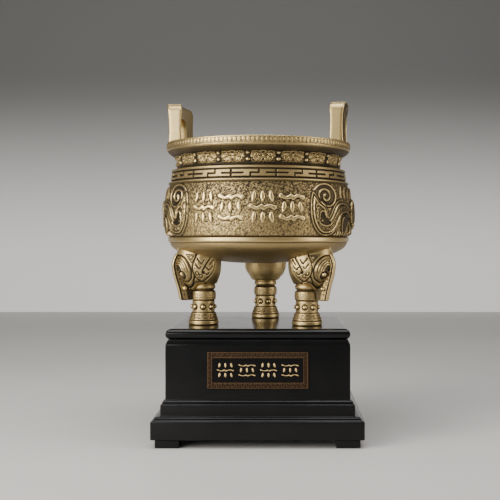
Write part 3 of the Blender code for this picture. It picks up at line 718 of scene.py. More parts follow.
def belly_relief(angle, height, stroke_height):
    """Height, polish, share of stroke and share of darkening, patina and painted shade, over the belly, by rows
    of heights and columns of angles. One dragon is worked out on a fine grid and read off by straight lines
    between its columns."""
    up = height - BELLY_BOTTOM
    folded = np.abs((angle + math.pi) % TURN - math.pi)
    s = (np.where(folded > math.pi / 2, math.pi - folded, folded) - DRAGON_START) * BELLY_RADIUS
    step = 0.25
    span = np.arange(-4.0, DRAGON_LENGTH + 0.01, step)
    patches = dragon_relief(*np.meshgrid(span, up[:, 0]))
    place = np.clip((s[0] - span[0]) / step, 0, len(span) - 2)
    low = place.astype(int)
    share = place - low
    raised, polish, dark = (patch[:, low] * (1 - share) + patch[:, low + 1] * share for patch in patches)
    front = (angle + math.pi) % TURN - math.pi
    middle = up - BELLY_HEIGHT * 0.515
    written = np.zeros(np.shape(angle))
    for block, degrees in enumerate(BLOCK_DEGREES):
        across = (front - math.radians(degrees)) * BELLY_RADIUS
        near = np.abs(across[0]) < 14.0
        place = (across[:, near], middle[:, near])
        inside = brush_strokes(*place, block, BLOCK_WIDTH, BLOCK_HEIGHT, STROKE_BOLDNESS)
        stroke = rises(inside, -0.25, 0.45)
        stroke_rise = stroke * (stroke_height + 0.25 * rises(inside, 0.3, 1.3))
        raised[:, near] = np.maximum(raised[:, near], stroke_rise)
        written[:, near] = np.maximum(written[:, near], stroke)
    return raised, polish, written, dark


def build_belly_half(name, low_degrees, columns, sizes, material):
    """Half of the belly with its bottom ridge, as a slab whose outside is the belly's arc plus the relief."""
    low, high = RIDGE_BOTTOM - 0.6, FRET_BOTTOM + 0.3
    wall = sizes.wall / MM
    arc = np.concatenate([np.arange(low, BELLY_BOTTOM, 0.6), np.linspace(BELLY_BOTTOM, high, BELLY_ROWS)])
    angle, height = np.meshgrid(np.radians(np.linspace(low_degrees, low_degrees + 180.0, columns)), arc)
    raised, polish, written, dark = belly_relief(angle, height, sizes.strokes / MM)
    up = height - BELLY_BOTTOM
    on_belly = between(up, 0.3, 1.2, BELLY_HEIGHT - 1.3, BELLY_HEIGHT - 0.6)
    raised, polish = raised * on_belly, polish * on_belly
    ground = falls(raised, 0.1, 0.6) * on_belly
    shape = angle.shape
    fine = grain(shape, (62, int(columns / 2.0)), 3) + 0.45 * grain(shape, (96, int(columns / 1.3)), 4)
    raised = raised + ground * (sizes.stipple / MM * fine - 0.05)
    ridge = between(height, RIDGE_BOTTOM - 0.2, RIDGE_BOTTOM + 1.0, BELLY_BOTTOM - 1.3, BELLY_BOTTOM - 0.1)
    ridge_radius = UNDERSIDE_RADIUS + (RIDGE_RADIUS - UNDERSIDE_RADIUS) * ridge
    base = np.where(height < BELLY_BOTTOM, ridge_radius, belly_radius(height))
    base = base - 0.9 * bell(up - 0.2, 0.45) - 0.6 * bell(up - BELLY_HEIGHT + 0.6, 0.4)
    lean = (up - BELLY_WIDEST) / BELLY_CURVE * (up > 0)
    radius = base + raised / np.sqrt(1 + lean**2)
    rise = height + raised * lean / np.sqrt(1 + lean**2)
    beside = blurred(raised, 4.0)
    proud = raised - beside
    lower = falls(up, 4.0, 44.0)
    relief = 0.50 * ground + (0.34 + 0.95 * proud) * (1.0 - ground)
    relief += ground * (0.34 * fine - 0.16 + 0.20 * lower - 0.75 * rises(beside, 0.15, 0.7))
    # The dragons' darkening, patina with painted shade, dims relief and polish; the strokes stay bright
    relief = np.maximum(relief * (1.0 - dark), written)
    polish = np.maximum(polish * np.clip(0.12 + 1.5 * proud, 0.0, 1.0) * (1.0 - dark), written)
    polish = np.maximum(polish, 0.06 + ground * (0.10 * lower + 0.25 * rises(fine, 0.2, 0.9)))
    relief = np.where(on_belly > 0.02, relief, 0.34 + 0.6 * ridge)
    shine = np.where(on_belly > 0.02, polish, 0.15 + 0.50 * ridge)
    inner_height = np.linspace(high, low, 7)[:, None]
    inner_radius = belly_radius(np.maximum(inner_height, BELLY_BOTTOM)) - wall
    inner_radius[-1] = UNDERSIDE_RADIUS - wall
    level = 0 * angle[:1]
    inner = round_point(angle[:1] + 0 * inner_height, inner_radius + level, inner_height + level)
    plain = np.full(inner.shape[:2], 0.62)
    points = np.vstack([round_point(angle, radius, rise), inner])
    relief, shine = np.vstack([relief, plain]), np.vstack([shine, plain * 0.6])
    brass_piece(name, grid_shell(points, True, False, relief=relief, shine=shine), material)


def ring_piece(name, profile, columns, relief_of, material):
    """A full ring from a closed profile of (radius, height) rows.

    Each row is pushed along the profile's normal, its tangent turned by a right angle, by a relief function of
    the angle, the radius and the height, which gives (height, relief, shine)."""
    angle = around(columns)
    profile = np.asarray(profile, float)
    radius, height = profile[:, :1], profile[:, 1:]
    along = np.roll(profile, -1, 0) - np.roll(profile, 1, 0)
    along /= np.hypot(*along.T)[:, None]
    raised, relief, shine = relief_of(angle, radius, height)
    points = round_point(angle + 0 * raised, radius + raised * along[:, 1:], height - raised * along[:, :1])
    brass_piece(name, grid_shell(points, wrap_rows=True, relief=relief, shine=shine), material)


def build_fret_band(sizes, material):
    """The meander band: grooves cut along straight spans that repeat in every unit of the band."""
    wall = sizes.wall / MM
    heights = np.arange(FRET_BOTTOM, NECK_BOTTOM + 2.6, 0.40)
    above = heights - FRET_BOTTOM
    lift = rises(above, 0.0, 0.5) - rises(above, 1.5, 2.1)
    top = 2.4 * rises(heights, NECK_BOTTOM - 0.2, NECK_BOTTOM + 0.4)
    top = top + 4.0 * rises(heights, NECK_BOTTOM + 0.3, NECK_BOTTOM + 2.3)
    outside = np.column_stack([fret_radius(heights) + 2.2 * lift - top, heights])
    inside = [(NECK_RADIUS - wall, NECK_BOTTOM + 2.4), (fret_radius(FRET_BOTTOM) - wall, FRET_BOTTOM)]
    pitch = TURN * FRET_RADIUS / FRET_UNITS
    start = math.radians(-10.0) * FRET_RADIUS
    low, mid, high = 3.0, 6.7, 10.4
    paths = (
        [(0.0, low), (0.0, high)], [(pitch, low), (pitch, high)],
        [(0.0, mid), (0.27 * pitch, mid)], [(0.79 * pitch, mid), (pitch, mid)],
        [(0.43 * pitch, low), (0.43 * pitch, mid), (0.62 * pitch, mid), (0.62 * pitch, high)],
        [(0.0, low - 0.1), (pitch, low - 0.1)], [(0.0, high + 0.1), (pitch, high + 0.1)],
    )

    def relief_of(angle, radius, height):
        outer = np.arange(len(radius))[:, None] < len(outside)
        u, v = np.broadcast_arrays((angle * FRET_RADIUS - start) % pitch, height - FRET_BOTTOM)
        cut = falls(nearest(u, v, paths), 0.42, 0.90) * outer
        band = between(v, 2.0, 2.4, 13.2, 13.8) * outer
        rail = between(v, 0.2, 0.6, 1.6, 2.0)
        tone = np.clip(0.12 + 0.41 * np.maximum(band, rail) - 0.85 * cut + 0.10 * rail, 0, 1)
        shine = (0.24 * band + 0.5 * rail) * (1 - cut)
        return -1.05 * cut, np.where(outer, tone, 0.62), np.where(outer, shine, 0.4)

    ring_piece("ding_fret_band", np.vstack([outside, inside]), FRET_COLUMNS, relief_of, material)


def scroll_patch(u, v):
    """Distance to the scrolls between two pairs of bosses: curls and waves, mirrored about the middle."""
    paths = []
    turn = np.linspace(0, 1.35, 18)
    for cx, cy, size, hand, start in (
        (2.1, 2.3, 1.9, 1, 200), (2.1, -2.3, 1.8, -1, 160), (5.6, 1.3, 1.7, -1, 20), (6.0, -2.5, 1.5, 1, 90),
        (8.7, 2.7, 1.5, 1, 250), (8.9, -0.4, 1.3, -1, 130),
    ):
        radius = size * (1 - turn / 1.7)
        theta = math.radians(start) + hand * TURN * turn
        paths.append(np.column_stack([cx + radius * np.cos(theta), cy + radius * np.sin(theta)]))
    for path in (
        [(0.0, -4.6), (1.0, -3.9), (3.6, -4.5), (5.0, -4.2), (7.4, -4.6), (9.6, -4.0)],
        [(0.0, 4.7), (1.6, 4.6), (3.8, 3.6), (5.4, 4.5), (7.0, 3.9), (9.8, 4.7)],
        [(3.7, -0.2), (4.2, -1.6), (3.6, -3.2)], [(7.2, 0.9), (7.4, -0.6), (7.9, -2.6), (9.6, -2.8)],
        [(0.0, 1.2), (0.5, 0.0), (0.0, -1.2)],
    ):
        paths.append(curve(path, 12))
    return nearest(np.abs(u), v, paths)


def build_neck(sizes, material):
    """The neck and the cove under the rim: pairs of round bosses, with scroll lines on a sunk ground between."""
    wall = sizes.wall / MM
    low, flare = NECK_BOTTOM + 1.4, LIP_BOTTOM - 1.0
    outside = [(NECK_RADIUS, height) for height in np.arange(low, flare, 0.36)]
    outside += curve([
        (NECK_RADIUS, flare), (NECK_RADIUS + 0.7, flare + 0.9), (NECK_RADIUS + 2.2, flare + 2.0),
        (NECK_RADIUS + 4.2, flare + 3.2), (NECK_RADIUS + 7.0, flare + 5.0), (RIM_RADIUS - 1.4, flare + 6.6),
        (RIM_RADIUS - 0.5, RIM_BOTTOM - 0.1),
    ], 32).tolist()
    inside = [
        (RIM_RADIUS - 1.6, RIM_BOTTOM + 0.8), (NECK_RADIUS - 1.0, RIM_BOTTOM + 0.8),
        (NECK_RADIUS - wall + 0.3, LIP_BOTTOM + 1.0), (NECK_RADIUS - wall, low),
    ]
    run = run_along(outside + inside)
    pitch = TURN * NECK_RADIUS / BOSS_PAIRS

    def relief_of(angle, radius, height):
        outer = np.arange(len(radius))[:, None] < len(outside)
        u, v = np.broadcast_arrays(in_cell(angle * NECK_RADIUS, pitch), run - 7.1)
        columns = int(round(u.shape[1] / BOSS_PAIRS))
        patch = np.tile(scroll_patch(u[:, :columns] * 0.93, v[:, :columns] * 0.86), (1, BOSS_PAIRS))
        on_patch = falls((np.abs(u) / 11.4) ** 3 + (np.abs(v) / 6.6) ** 4, 0.7, 1.1)
        thread = bell(patch, 0.38) * on_patch
        from_pair = pitch / 2 - np.abs(u)
        away = np.hypot(from_pair, np.abs(v) - 3.1)
        bosses = dome(away, 2.0, sizes.bosses / MM)
        lip = rises(radius, RIM_RADIUS - 1.3, RIM_RADIUS - 0.6)
        # Painted light: the tone is lifted from 13 mm up the profile, over the upper cove under the rim, where
        # shade falls
        tone = 0.15 + 0.16 * rises(run, 13.0, 15.0) + 0.04 * on_patch + 0.60 * thread
        tone = tone + 0.9 * rises(bosses, 0.6, 1.6) + 0.5 * lip
        shine = 0.30 * thread + rises(bosses, 0.8, 1.6) + 0.3 * lip
        raised = np.maximum(0.75 * thread, bosses) * outer
        return raised, np.where(outer, tone, 0.62), np.where(outer, shine, 0.4)

    ring_piece("ding_neck", outside + inside, NECK_COLUMNS, relief_of, material)


def build_rim(sizes, material):
    """The rim: a face with rounded leaves over a plain edge, a flat top with square scrolls, and the mouth."""
    outside = [(RIM_RADIUS - 1.8, RIM_BOTTOM + 0.2), (RIM_RADIUS - 0.8, RIM_BOTTOM - 0.3)]
    face = [(RIM_RADIUS - 0.1, RIM_BOTTOM), (RIM_RADIUS, RIM_BOTTOM + 0.4), (RIM_RADIUS, RIM_BOTTOM + 0.8)]
    face += [(RIM_RADIUS - 0.3, height) for height in np.arange(RIM_BOTTOM + 1.2, RIM_TOP - 0.9, 0.34)]
    face += [(RIM_RADIUS - inset, RIM_TOP - drop) for inset, drop in ((0.1, 0.8), (0.2, 0.35), (0.6, 0.05))]
    top = [(radius, RIM_TOP) for radius in np.linspace(RIM_RADIUS - 1.2, MOUTH_RADIUS + 0.8, 26)]
    mouth = [
        (MOUTH_RADIUS + 0.3, RIM_TOP - 0.1), (MOUTH_RADIUS, RIM_TOP - 0.5), (MOUTH_RADIUS, RIM_BOTTOM + 1.0),
        (MOUTH_RADIUS + 0.6, RIM_BOTTOM - 2.5), (NECK_RADIUS - sizes.wall / MM, LIP_BOTTOM - 0.2),
    ]
    face_start = len(outside)
    top_start = face_start + len(face)
    mouth_start = top_start + len(top)
    spiral = [(-4.6, -2.6), (-4.6, 2.6), (4.0, 2.6), (4.0, -1.6), (-2.2, -1.6), (-2.2, 0.9), (1.8, 0.9)]

    def relief_of(angle, radius, height):
        row = np.arange(len(radius))[:, None]
        on_face = (row >= face_start + 2) & (row < top_start - 3)
        on_top = (row >= top_start) & (row < mouth_start)
        v = (height - RIM_BOTTOM - 1.2) / (RIM_TOP - RIM_BOTTOM - 2.1)
        u, v = np.broadcast_arrays(in_cell(angle * RIM_LEAVES / TURN, 1.0), v)
        leaf = np.hypot(u / 0.44, (v - 0.52) / 0.46)
        vein = bell(u + 0.18 * (v - 0.5), 0.07) * (v < 0.9)
        knob = falls(leaf, 0.62, 1.0) * (1.0 - 0.55 * vein)
        ring = bell(leaf - 0.55, 0.12) * 0.25
        across = (radius - MOUTH_RADIUS) / (RIM_RADIUS - MOUTH_RADIUS) - 0.5
        key_x, key_y = np.broadcast_arrays(in_cell(angle * RIM_KEYS / TURN, 1.0) * 10.6, across * 10.0)
        thread = bell(distance_to(key_x, key_y, spiral), 0.5)
        speck = grain(u.shape, (30, 340), 8) * 0.20
        face_tone = 0.46 + 0.32 * knob - 0.3 * ring + speck
        relief = np.select([on_face, on_top], [face_tone, 0.35 + 0.45 * thread], 0.66)
        edge = np.where(row >= mouth_start, 0.5, 0.60)
        shine = np.select([on_face, on_top], [0.22 + 0.40 * knob, 0.25 + 0.35 * thread], edge)
        return np.where(on_face, sizes.leaves / MM * knob - ring, 0.0), relief, shine

    ring_piece("ding_rim", outside + face + top + mouth, RIM_COLUMNS, relief_of, material)


def build_underside(sizes, material):
    """The rounded dish under the bowl and its inside: two flat ellipses, joined at their edges."""
    wall = sizes.wall / MM
    turn = np.radians(np.linspace(2.0, 90.0, UNDERSIDE_ROWS))[:, None]
    outer = (UNDERSIDE_RADIUS * np.sin(turn), RIDGE_BOTTOM - UNDERSIDE_DEPTH * np.cos(turn))
    back = turn[::-1]
    inner = ((UNDERSIDE_RADIUS - wall) * np.sin(back), RIDGE_BOTTOM - (UNDERSIDE_DEPTH - wall) * np.cos(back))
    radius, height = (np.vstack(pair) for pair in zip(outer, inner))
    points = round_point(around(UNDERSIDE_COLUMNS) + 0 * radius, radius, height)
    # Painted shade: the outside keeps a low tone that falls further towards its middle, the shade under the bowl
    # between the legs
    relief = np.vstack([0.43 + 0.14 * np.sin(turn) ** 2, np.full(back.shape, 0.5)])
    bottom = RIDGE_BOTTOM - UNDERSIDE_DEPTH
    poles = {"low_pole": (0, 0, bottom), "high_pole": (0, 0, bottom + wall)}
    brass_piece("ding_underside", grid_shell(points, relief=relief, shine=0.26, **poles), material)


# Ears

def ear_outline(samples):
    """Outer and inner edge points (along the rim, up) of the loop, from one foot to the other: straight
    sides, then a quarter circle outside and part of an ellipse inside."""
    half, inner_half = EAR_HALF_LENGTH, EAR_OPENING_WIDTH / 2
    arch = EAR_OPENING_HEIGHT - inner_half * 0.80
    both = [
        (half, -1.5, inner_half, -1.5), (half, 8.0, inner_half, 5.0), (half, 18.0, inner_half, 10.0),
        (half, EAR_HEIGHT - EAR_CORNER, inner_half, arch),
    ]
    for step in (1, 2, 3, 4):
        turn = math.radians(22.5 * step)
        both.append((
            half - EAR_CORNER * (1 - math.cos(turn)), EAR_HEIGHT - EAR_CORNER * (1 - math.sin(turn)),
            inner_half * math.cos(turn * 0.84), arch + inner_half * 0.80 * math.sin(turn) ** 0.85,
        ))
    both = np.array(both + [(0.0, EAR_HEIGHT, 0.0, EAR_OPENING_HEIGHT)])
    return curve(np.vstack([both, both[:-1][::-1] * (-1, 1, -1, 1)]), samples)


def build_ear(name, turn, material):
    """One loop ear: a rounded four-sided section carried round the loop, curved with the rim, leaning out."""
    outline = ear_outline(EAR_ROWS)
    side = np.repeat([0, 1, 2, 3], EAR_SIDES)
    place = np.concatenate([np.linspace(0.0, 1.0, count) for count in EAR_SIDES])
    ease = 0.5 - 0.5 * np.cos(place * math.pi)
    none, full = 0 * ease, 0 * ease + 1
    across = np.choose(side, [none, ease, full, 1 - ease])
    through = np.choose(side, [ease, full, 1 - ease, none])
    edge_in, edge_out = np.minimum(across, 1 - across), np.minimum(through, 1 - through)
    broad = side % 2 == 1
    width = np.hypot(outline[:, 0] - outline[:, 2], outline[:, 1] - outline[:, 3])[:, None]
    pull = np.where(broad, bell(edge_in * width, EAR_EDGE), 0.0) * EAR_EDGE * 0.45
    trim = np.where(broad, 0.0, bell(edge_out * EAR_THICKNESS, EAR_EDGE)) * EAR_EDGE * 0.45
    across = across + trim * np.where(across < 0.5, 1, -1) / width
    along, up = (outline[:, k:k + 1] * (1 - across) + outline[:, k + 2:k + 3] * across for k in (0, 1))
    share = np.maximum(up, 0.0) / EAR_HEIGHT
    waist = 0.9 * (1 - (2 * share - 1) ** 2)
    outside = EAR_OUTER_RADIUS - 0.0036 * along**2 + 1.5 * share**2 - waist
    inside = EAR_OUTER_RADIUS - EAR_THICKNESS - 0.0050 * along**2 + waist
    band = rises(width * edge_in, 1.4, 1.9)
    flank = (side == 1) + 0 * along
    run = run_along((outline[:, :2] + outline[:, 2:]) / 2)
    key = square_spirals(run + 0 * along, (across - 0.5) * width, 7.2, 3.4)
    pattern = flank * band * (0.35 * bell(key, 0.5) - 0.25)
    radial = inside * (1 - through) + outside * through - pull * np.where(side == 1, 1.0, -1.0) + pattern
    points = turned_about(np.stack([radial, along, RIM_TOP + up], -1), turn)
    relief = np.where(flank > 0.5, 0.46 + pattern * 1.2 + 0.2 * (1 - band), 0.78)
    shine = np.where(flank > 0.5, 0.20 + 0.9 * np.maximum(pattern, 0) + 0.35 * (1 - band), 0.42)
    poles = {"low_pole": points[0].mean(0), "high_pole": points[-1].mean(0)}
    brass_piece(name, grid_shell(points, relief=relief, shine=shine, **poles), material, sharp=60.0)


# Legs

def head_reach(angle, height):
    """Half sizes of a beast head by height: an ellipse that is longer outwards than to the rear."""
    share = (height - HEAD_BOTTOM) / (BOWL_CLEARANCE - HEAD_BOTTOM)
    rows = (-0.35, 0.0, 0.12, 0.25, 0.40, 0.55, 0.70, 0.85, 1.0, 1.2, 1.6)
    rear = np.interp(share, rows, (11.2, 11.8, 12.8, 13.6, 14.6, 15.3, 15.7, 15.8, 16.0, 16.1, 16.1))
    side = np.interp(share, rows, (11.2, 12.5, 14.3, 15.9, 17.5, 18.8, 19.7, 20.2, 20.2, 20.1, 20.0))
    front = np.interp(share, rows, (12.5, 15.8, 18.2, 20.6, 22.9, 24.8, 26.2, 27.0, 26.9, 26.2, 25.0))
    blend = rises(np.cos(angle), -0.35, 0.35)
    return rear * (1 - blend) + front * blend, side


def underside_over(x, y):
    """Height of the bowl's underside over a point given about a leg's axis: a flat ellipse."""
    share = np.clip(np.hypot(LEG_CIRCLE + x, y) / UNDERSIDE_RADIUS, 0, 0.999)
    return RIDGE_BOTTOM - UNDERSIDE_DEPTH * np.sqrt(1 - share**2)


def leaf_marks():
    """Marks cut in the leaf ear, as (points, width), on degrees from the crest and height."""
    marks = [
        ([(87, 62), (81, 57.5), (76, 53.5), (73, 50.5), (72, 48.6), (74, 47.8), (75.6, 49.4)], 0.9),
        ([(97, 60.6), (91, 58.6), (86.6, 56.2)], 0.7),
        ([(93, 54.8), (88.6, 52.6), (84, 51.2), (80, 53.4)], 0.7),
        ([(85.5, 48.6), (81.5, 46.6), (77.5, 47.8)], 0.6),
        ([(76, 60.4), (72.6, 57.6), (70.6, 57.0), (65, 59.8), (61, 62.0)], 0.7),
        ([(70.6, 54.2), (67.6, 52.4), (64, 53.6), (59.6, 56.4)], 0.7),
    ]
    turn = np.linspace(0.0, TURN, 16)
    for cx, cy in ((61.6, 47.8), (69.0, 45.2)):
        marks.append((np.column_stack([cx + 3.4 * np.cos(turn), cy + 1.6 * np.sin(turn)]), 0.55))
    return marks


def mask_relief(degrees, y):
    """Height, relief and shine of the beast mask over the head, on degrees from the crest and height.

    Eye, leaf ear and the triangle over them are outlines with lines inside, pressed in or raised by distance.
    """
    away = np.abs(degrees)
    x = away * DEGREE_WIDTH
    flat = (DEGREE_WIDTH, 1.0)
    eye = curve([
        (2, 63.6), (18, 64.0), (33, 61.4), (43, 57.0), (48, 52.0), (47, 47.0), (43, 43.4), (35, 41.2),
        (22, 39.6), (8, 41.0),
    ], 60) * flat
    inside = depth_inside(x, y, np.vstack([eye, [(-20.0, 41.0), (-20.0, 63.6)]]))
    socket, brow = rises(inside, 0.8, 1.6), rises(y, 48.6, 50.5)
    raised = -0.9 * bell(inside, 0.55)
    relief = 0.62 - 0.62 * bell(inside, 0.75) - socket * brow * 0.55
    shine = np.full(np.shape(x), 0.55)
    for offset in (1.6, 3.8, 5.9, 7.9):
        line = bell(inside - offset, 0.62) * brow
        raised += 0.95 * line
        relief += 0.75 * line
        shine += 0.2 * line
    pupil = np.hypot((away - 21.5) * DEGREE_WIDTH * 1.05, y - 46.6)
    ball_tone = rises(2.2 - pupil, 0.0, 0.8)
    raised += dome(pupil, 2.2, 2.0) - 0.5 * bell(pupil - 2.75, 0.4) + 0.6 * bell(pupil - 3.7, 0.5) * socket
    relief += 0.4 * ball_tone - 0.9 * bell(pupil - 3.1, 0.8) + 0.3 * bell(pupil - 4.6, 0.5) * socket
    relief -= 0.25 * socket * (1 - brow) * rises(pupil, 2.2, 3.0)
    shine += 0.60 * ball_tone
    leaf = curve([
        (62, 66.5), (57, 60.0), (53.4, 53.0), (54.6, 47.0), (60.5, 42.8), (70, 40.8), (80, 42.6), (92, 47.4),
        (99.0, 52.4), (102.0, 58.0), (102.0, 66.5),
    ], 70) * flat
    deep = depth_inside(x, y, leaf)
    raised += rises(deep, 0.0, 0.8) - 0.8 * bell(deep + 0.5, 0.5)
    relief = np.where(deep > 0, 0.80, relief - 0.60 * bell(deep + 0.4, 0.6))
    shine = np.where(deep > 0, 0.72, shine)
    for points, width in leaf_marks():
        cut = bell(distance_to(x, y, curve(points, 20) * flat), width * 0.75) * (deep > 0.6)
        raised -= 0.6 * cut
        relief -= 0.95 * cut
    border = bell(deep - 1.5, 0.30)
    raised -= 0.30 * border
    relief -= 0.42 * border
    triangle = np.array([(33.5, 65.2), (59.0, 64.6), (50.6, 57.6), (33.5, 65.2)]) * flat
    centre = triangle[:3].mean(0)
    for shrink in (0.0, 2.1):
        ring = distance_to(x, y, centre + (triangle - centre) * (1 - shrink / 4.4))
        raised -= 0.55 * bell(ring, 0.40)
        relief -= 0.55 * bell(ring, 0.45)
    seam = curve([(54.5, 45.6), (50, 42.4), (44, 39.0), (34, 35.6), (22, 34.0), (12, 33.8)], 20) * flat
    lip = curve([(24, 33.6), (36, 34.4), (46, 36.4), (56, 39.4), (66, 40.0)], 20) * flat
    from_seam, behind = distance_to(x, y, seam), rises(away, 70.0, 100.0)
    jaw = (y - HEAD_BOTTOM - 0.6 + 5.6 * falls(away, 18.0, 66.0)) * (1 - behind) + 9.0 * behind
    raised += 0.3 * bell(distance_to(x, y, lip), 0.9)
    raised -= 0.9 * bell(from_seam, 0.55) + 0.5 * bell(jaw - 2.9, 0.6)
    # Painted highlight with rubbed wear: a bright line just above the jaw's bottom edge; the dark lines in the
    # groove and along the seam are patina
    relief += 0.30 * bell(jaw - 1.2, 0.7) - 0.75 * bell(jaw - 2.9, 0.6) - 0.75 * bell(from_seam, 0.65)
    shine += 0.35 * bell(jaw - 1.1, 0.6)
    rear = rises(away, 103.0, 110.0)
    return raised * (1 - rear), relief * (1 - rear) + 0.60 * rear, shine * (1 - rear) + 0.42 * rear


def leg_head():
    """The beast head: an ellipse by height, from the collar to the bowl, pushed out by the mask. Its columns
    stand closer on the outer side, where an angle is less than its share of the turn by a part of the sine."""
    turn = around(HEAD_COLUMNS)
    angle = turn - 0.35 * np.sin(turn)
    degrees = np.degrees((angle + math.pi) % TURN - math.pi)
    jaw = 5.6 * falls(np.abs(degrees), 18.0, 66.0)
    bottom = HEAD_BOTTOM + 0.6 - jaw
    reach, side = head_reach(angle, BOWL_CLEARANCE + 4.0 + 0 * angle)
    top = underside_over(reach * np.cos(angle), side * np.sin(angle)) + 1.2
    share = np.linspace(0.0, 1.0, HEAD_ROWS)[:, None]
    height = bottom + (top - bottom) * share
    reach, side = head_reach(angle, height + jaw * (1 - share) * 0.35)
    raised, relief, shine = mask_relief(degrees + 0 * height, height)
    raised = raised * rises(share, 0.0, 0.04) - 1.6 * falls(share, 0.0, 0.045) ** 2
    x, y = reach * np.cos(angle), side * np.sin(angle)
    push = 1.0 + raised / np.hypot(x, y)
    points = np.stack([x * push, y * push, height], -1)
    low, high = (0.0, 0.0, HEAD_BOTTOM - 1.0), (0.0, 0.0, underside_over(0.0, 0.0) + 1.0)
    return grid_shell(points, low_pole=low, high_pole=high, relief=relief, shine=shine)


def leg_shaft():
    """The turned shaft: foot ring, patterned flared band, boss band, drum and collar, bosses as half balls."""
    profile = np.array([
        (13.6, 0.0), (14.1, 0.5), (14.1, 3.2), (13.7, 3.75), (13.0, 3.95), (13.3, 4.4), (13.6, 4.9),
        (12.2, 8.0), (11.8, 10.2), (11.5, 10.8), (11.0, 11.1), (10.3, 11.3), (10.5, 12.0), (10.5, 21.4),
        (10.1, 22.0), (9.9, 22.3), (10.6, 22.6), (11.3, 23.2), (11.5, 24.4), (11.5, 29.6), (11.2, 30.8),
        (10.3, 31.3), (9.5, 31.6), (9.6, 32.3), (10.5, 32.9), (11.1, 33.9), (11.2, 35.2), (10.9, 36.4),
        (10.4, 37.4), (10.2, 39.0),
    ])
    run = run_along(profile)[:, 0]
    places = np.linspace(0, run[-1], SHAFT_ROWS)
    radius, height = (np.interp(places, run, profile[:, k])[:, None] for k in (0, 1))
    angle = around(SHAFT_COLUMNS)
    away = np.hypot(in_cell(angle, TURN / 8) * 10.5, height - 16.4)
    bosses = dome(away, 2.15, 2.0)
    moat = bell(away - 2.6, 0.4)
    on_band = between(height, 5.2, 5.8, 9.6, 10.2)
    diamond = np.abs(in_cell(angle, TURN / 14) * 14 / TURN * 5.8) / 2.5 + np.abs(height - 7.7) / 2.1
    weave = bell(diamond - 0.95, 0.14) + bell(diamond - 0.40, 0.16) * 0.7
    on_drum = between(height, 24.0, 24.6, 29.4, 30.0)
    spiral = [(-2.4, -1.8), (-2.4, 1.8), (2.2, 1.8), (2.2, -1.2), (-0.9, -1.2), (-0.9, 0.5), (0.9, 0.5)]
    thread = bell(distance_to(*np.broadcast_arrays(in_cell(angle * 11.4, 5.97), height - 27.0), spiral), 0.42)
    groove = sum(
        between(height, *steps)
        for steps in (
            (21.6, 22.2, 22.5, 23.0), (30.6, 31.2, 32.2, 33.0), (10.5, 11.1, 11.3, 12.0), (3.3, 3.9, 4.1, 4.8),
        )
    )
    ball_tone = rises(bosses, 0.8, 1.6)
    relief = 0.66 + 0.3 * ball_tone - 0.75 * moat - 0.42 * groove
    relief -= on_band * (0.34 - 0.42 * weave) + on_drum * (0.16 - 0.26 * thread)
    relief += (0.08 + 0.14 * (on_band + on_drum)) * grain(away.shape, (90, 130), 11)
    shine = 0.40 + 0.58 * ball_tone - 0.3 * moat - 0.22 * on_band - 0.10 * on_drum - 0.3 * groove
    radius = radius + bosses - 0.3 * moat + on_band * (0.30 * weave - 0.15) + on_drum * (0.28 * thread - 0.14)
    points = np.stack([radius * np.cos(angle), radius * np.sin(angle), height + 0 * radius], -1)
    return grid_shell(points, low_pole=(0, 0, 0), high_pole=(0, 0, 39.5), relief=relief, shine=shine)


def leg_crest():
    """The upright flange: straight spans from the leg's middle out to its outline, round at the edge, with a
    thread of scrolls in both sides."""
    outline = curve([
        (10.0, 22.6), (15.6, 22.6), (20.8, 22.6), (22.8, 23.0), (23.7, 24.4), (24.4, 28.0), (25.6, 33.0),
        (27.4, 39.0), (29.0, 44.0), (30.2, 49.0), (31.0, 53.6), (31.1, 56.6), (30.3, 60.0), (28.8, 63.4),
        (27.2, 65.6), (25.6, 66.6), (24.7, 67.2), (25.1, 68.4), (26.0, 70.6), (26.4, 73.4),
    ], CREST_ROWS)
    core = np.column_stack([np.full(len(outline), CREST_ROOT), np.clip(outline[:, 1], 24.0, 60.0)])
    half = CREST_THICKNESS / 2
    width = np.hypot(*(outline - core).T)[:, None]
    flat = np.linspace(0.0, 1.0, CREST_FLATS) * (1.0 - CREST_ROUNDING / width)
    bend = np.radians(np.linspace(0, 180, 13))[1:-1]
    outward = np.hstack([flat, 1.0 - CREST_ROUNDING / width * (1.0 - np.sin(bend)), flat[:, ::-1]])
    sides = np.ones(CREST_FLATS)
    across = np.concatenate([-sides, -np.cos(bend), sides]) * half
    reach, height = (core[:, k:k + 1] + (outline[:, k:k + 1] - core[:, k:k + 1]) * outward for k in (0, 1))
    from_edge = (1 - outward) * width
    flank = (np.abs(across) > half * 0.99) & (from_edge > CREST_ROUNDING * 0.99)
    key = square_spirals(run_along(outline) + 0 * reach, from_edge - 5.0, 5.0, 2.0)
    thread = bell(key, 0.50) * flank
    edge_line = bell(from_edge - 2.1, 0.40) * flank
    off = across * (1 + 0.10 * (thread - 0.5) * flank) - np.sign(across) * 0.25 * edge_line
    points = np.stack([reach, off, height], -1)
    relief = np.where(flank, 0.22 + 0.42 * thread - 0.30 * edge_line, 0.80)
    shine = np.where(flank, 0.05 + 0.30 * thread, 0.62)
    poles = {"low_pole": points[0].mean(0), "high_pole": points[-1].mean(0)}
    return grid_shell(points[:, ::-1], relief=relief[:, ::-1], shine=shine[:, ::-1], **poles)


def ball(centre, radius):
    """A ball, by latitude and longitude."""
    turn = around(24)
    tilt = np.radians(np.linspace(-78, 78, 12))[:, None]
    unit = np.stack([np.cos(tilt) * np.cos(turn), np.cos(tilt) * np.sin(turn), np.sin(tilt) + 0 * turn], -1)
    poles = {"low_pole": np.add(centre, (0, 0, -radius)), "high_pole": np.add(centre, (0, 0, radius))}
    return grid_shell(centre + radius * unit, relief=0.95, shine=1.0, **poles)


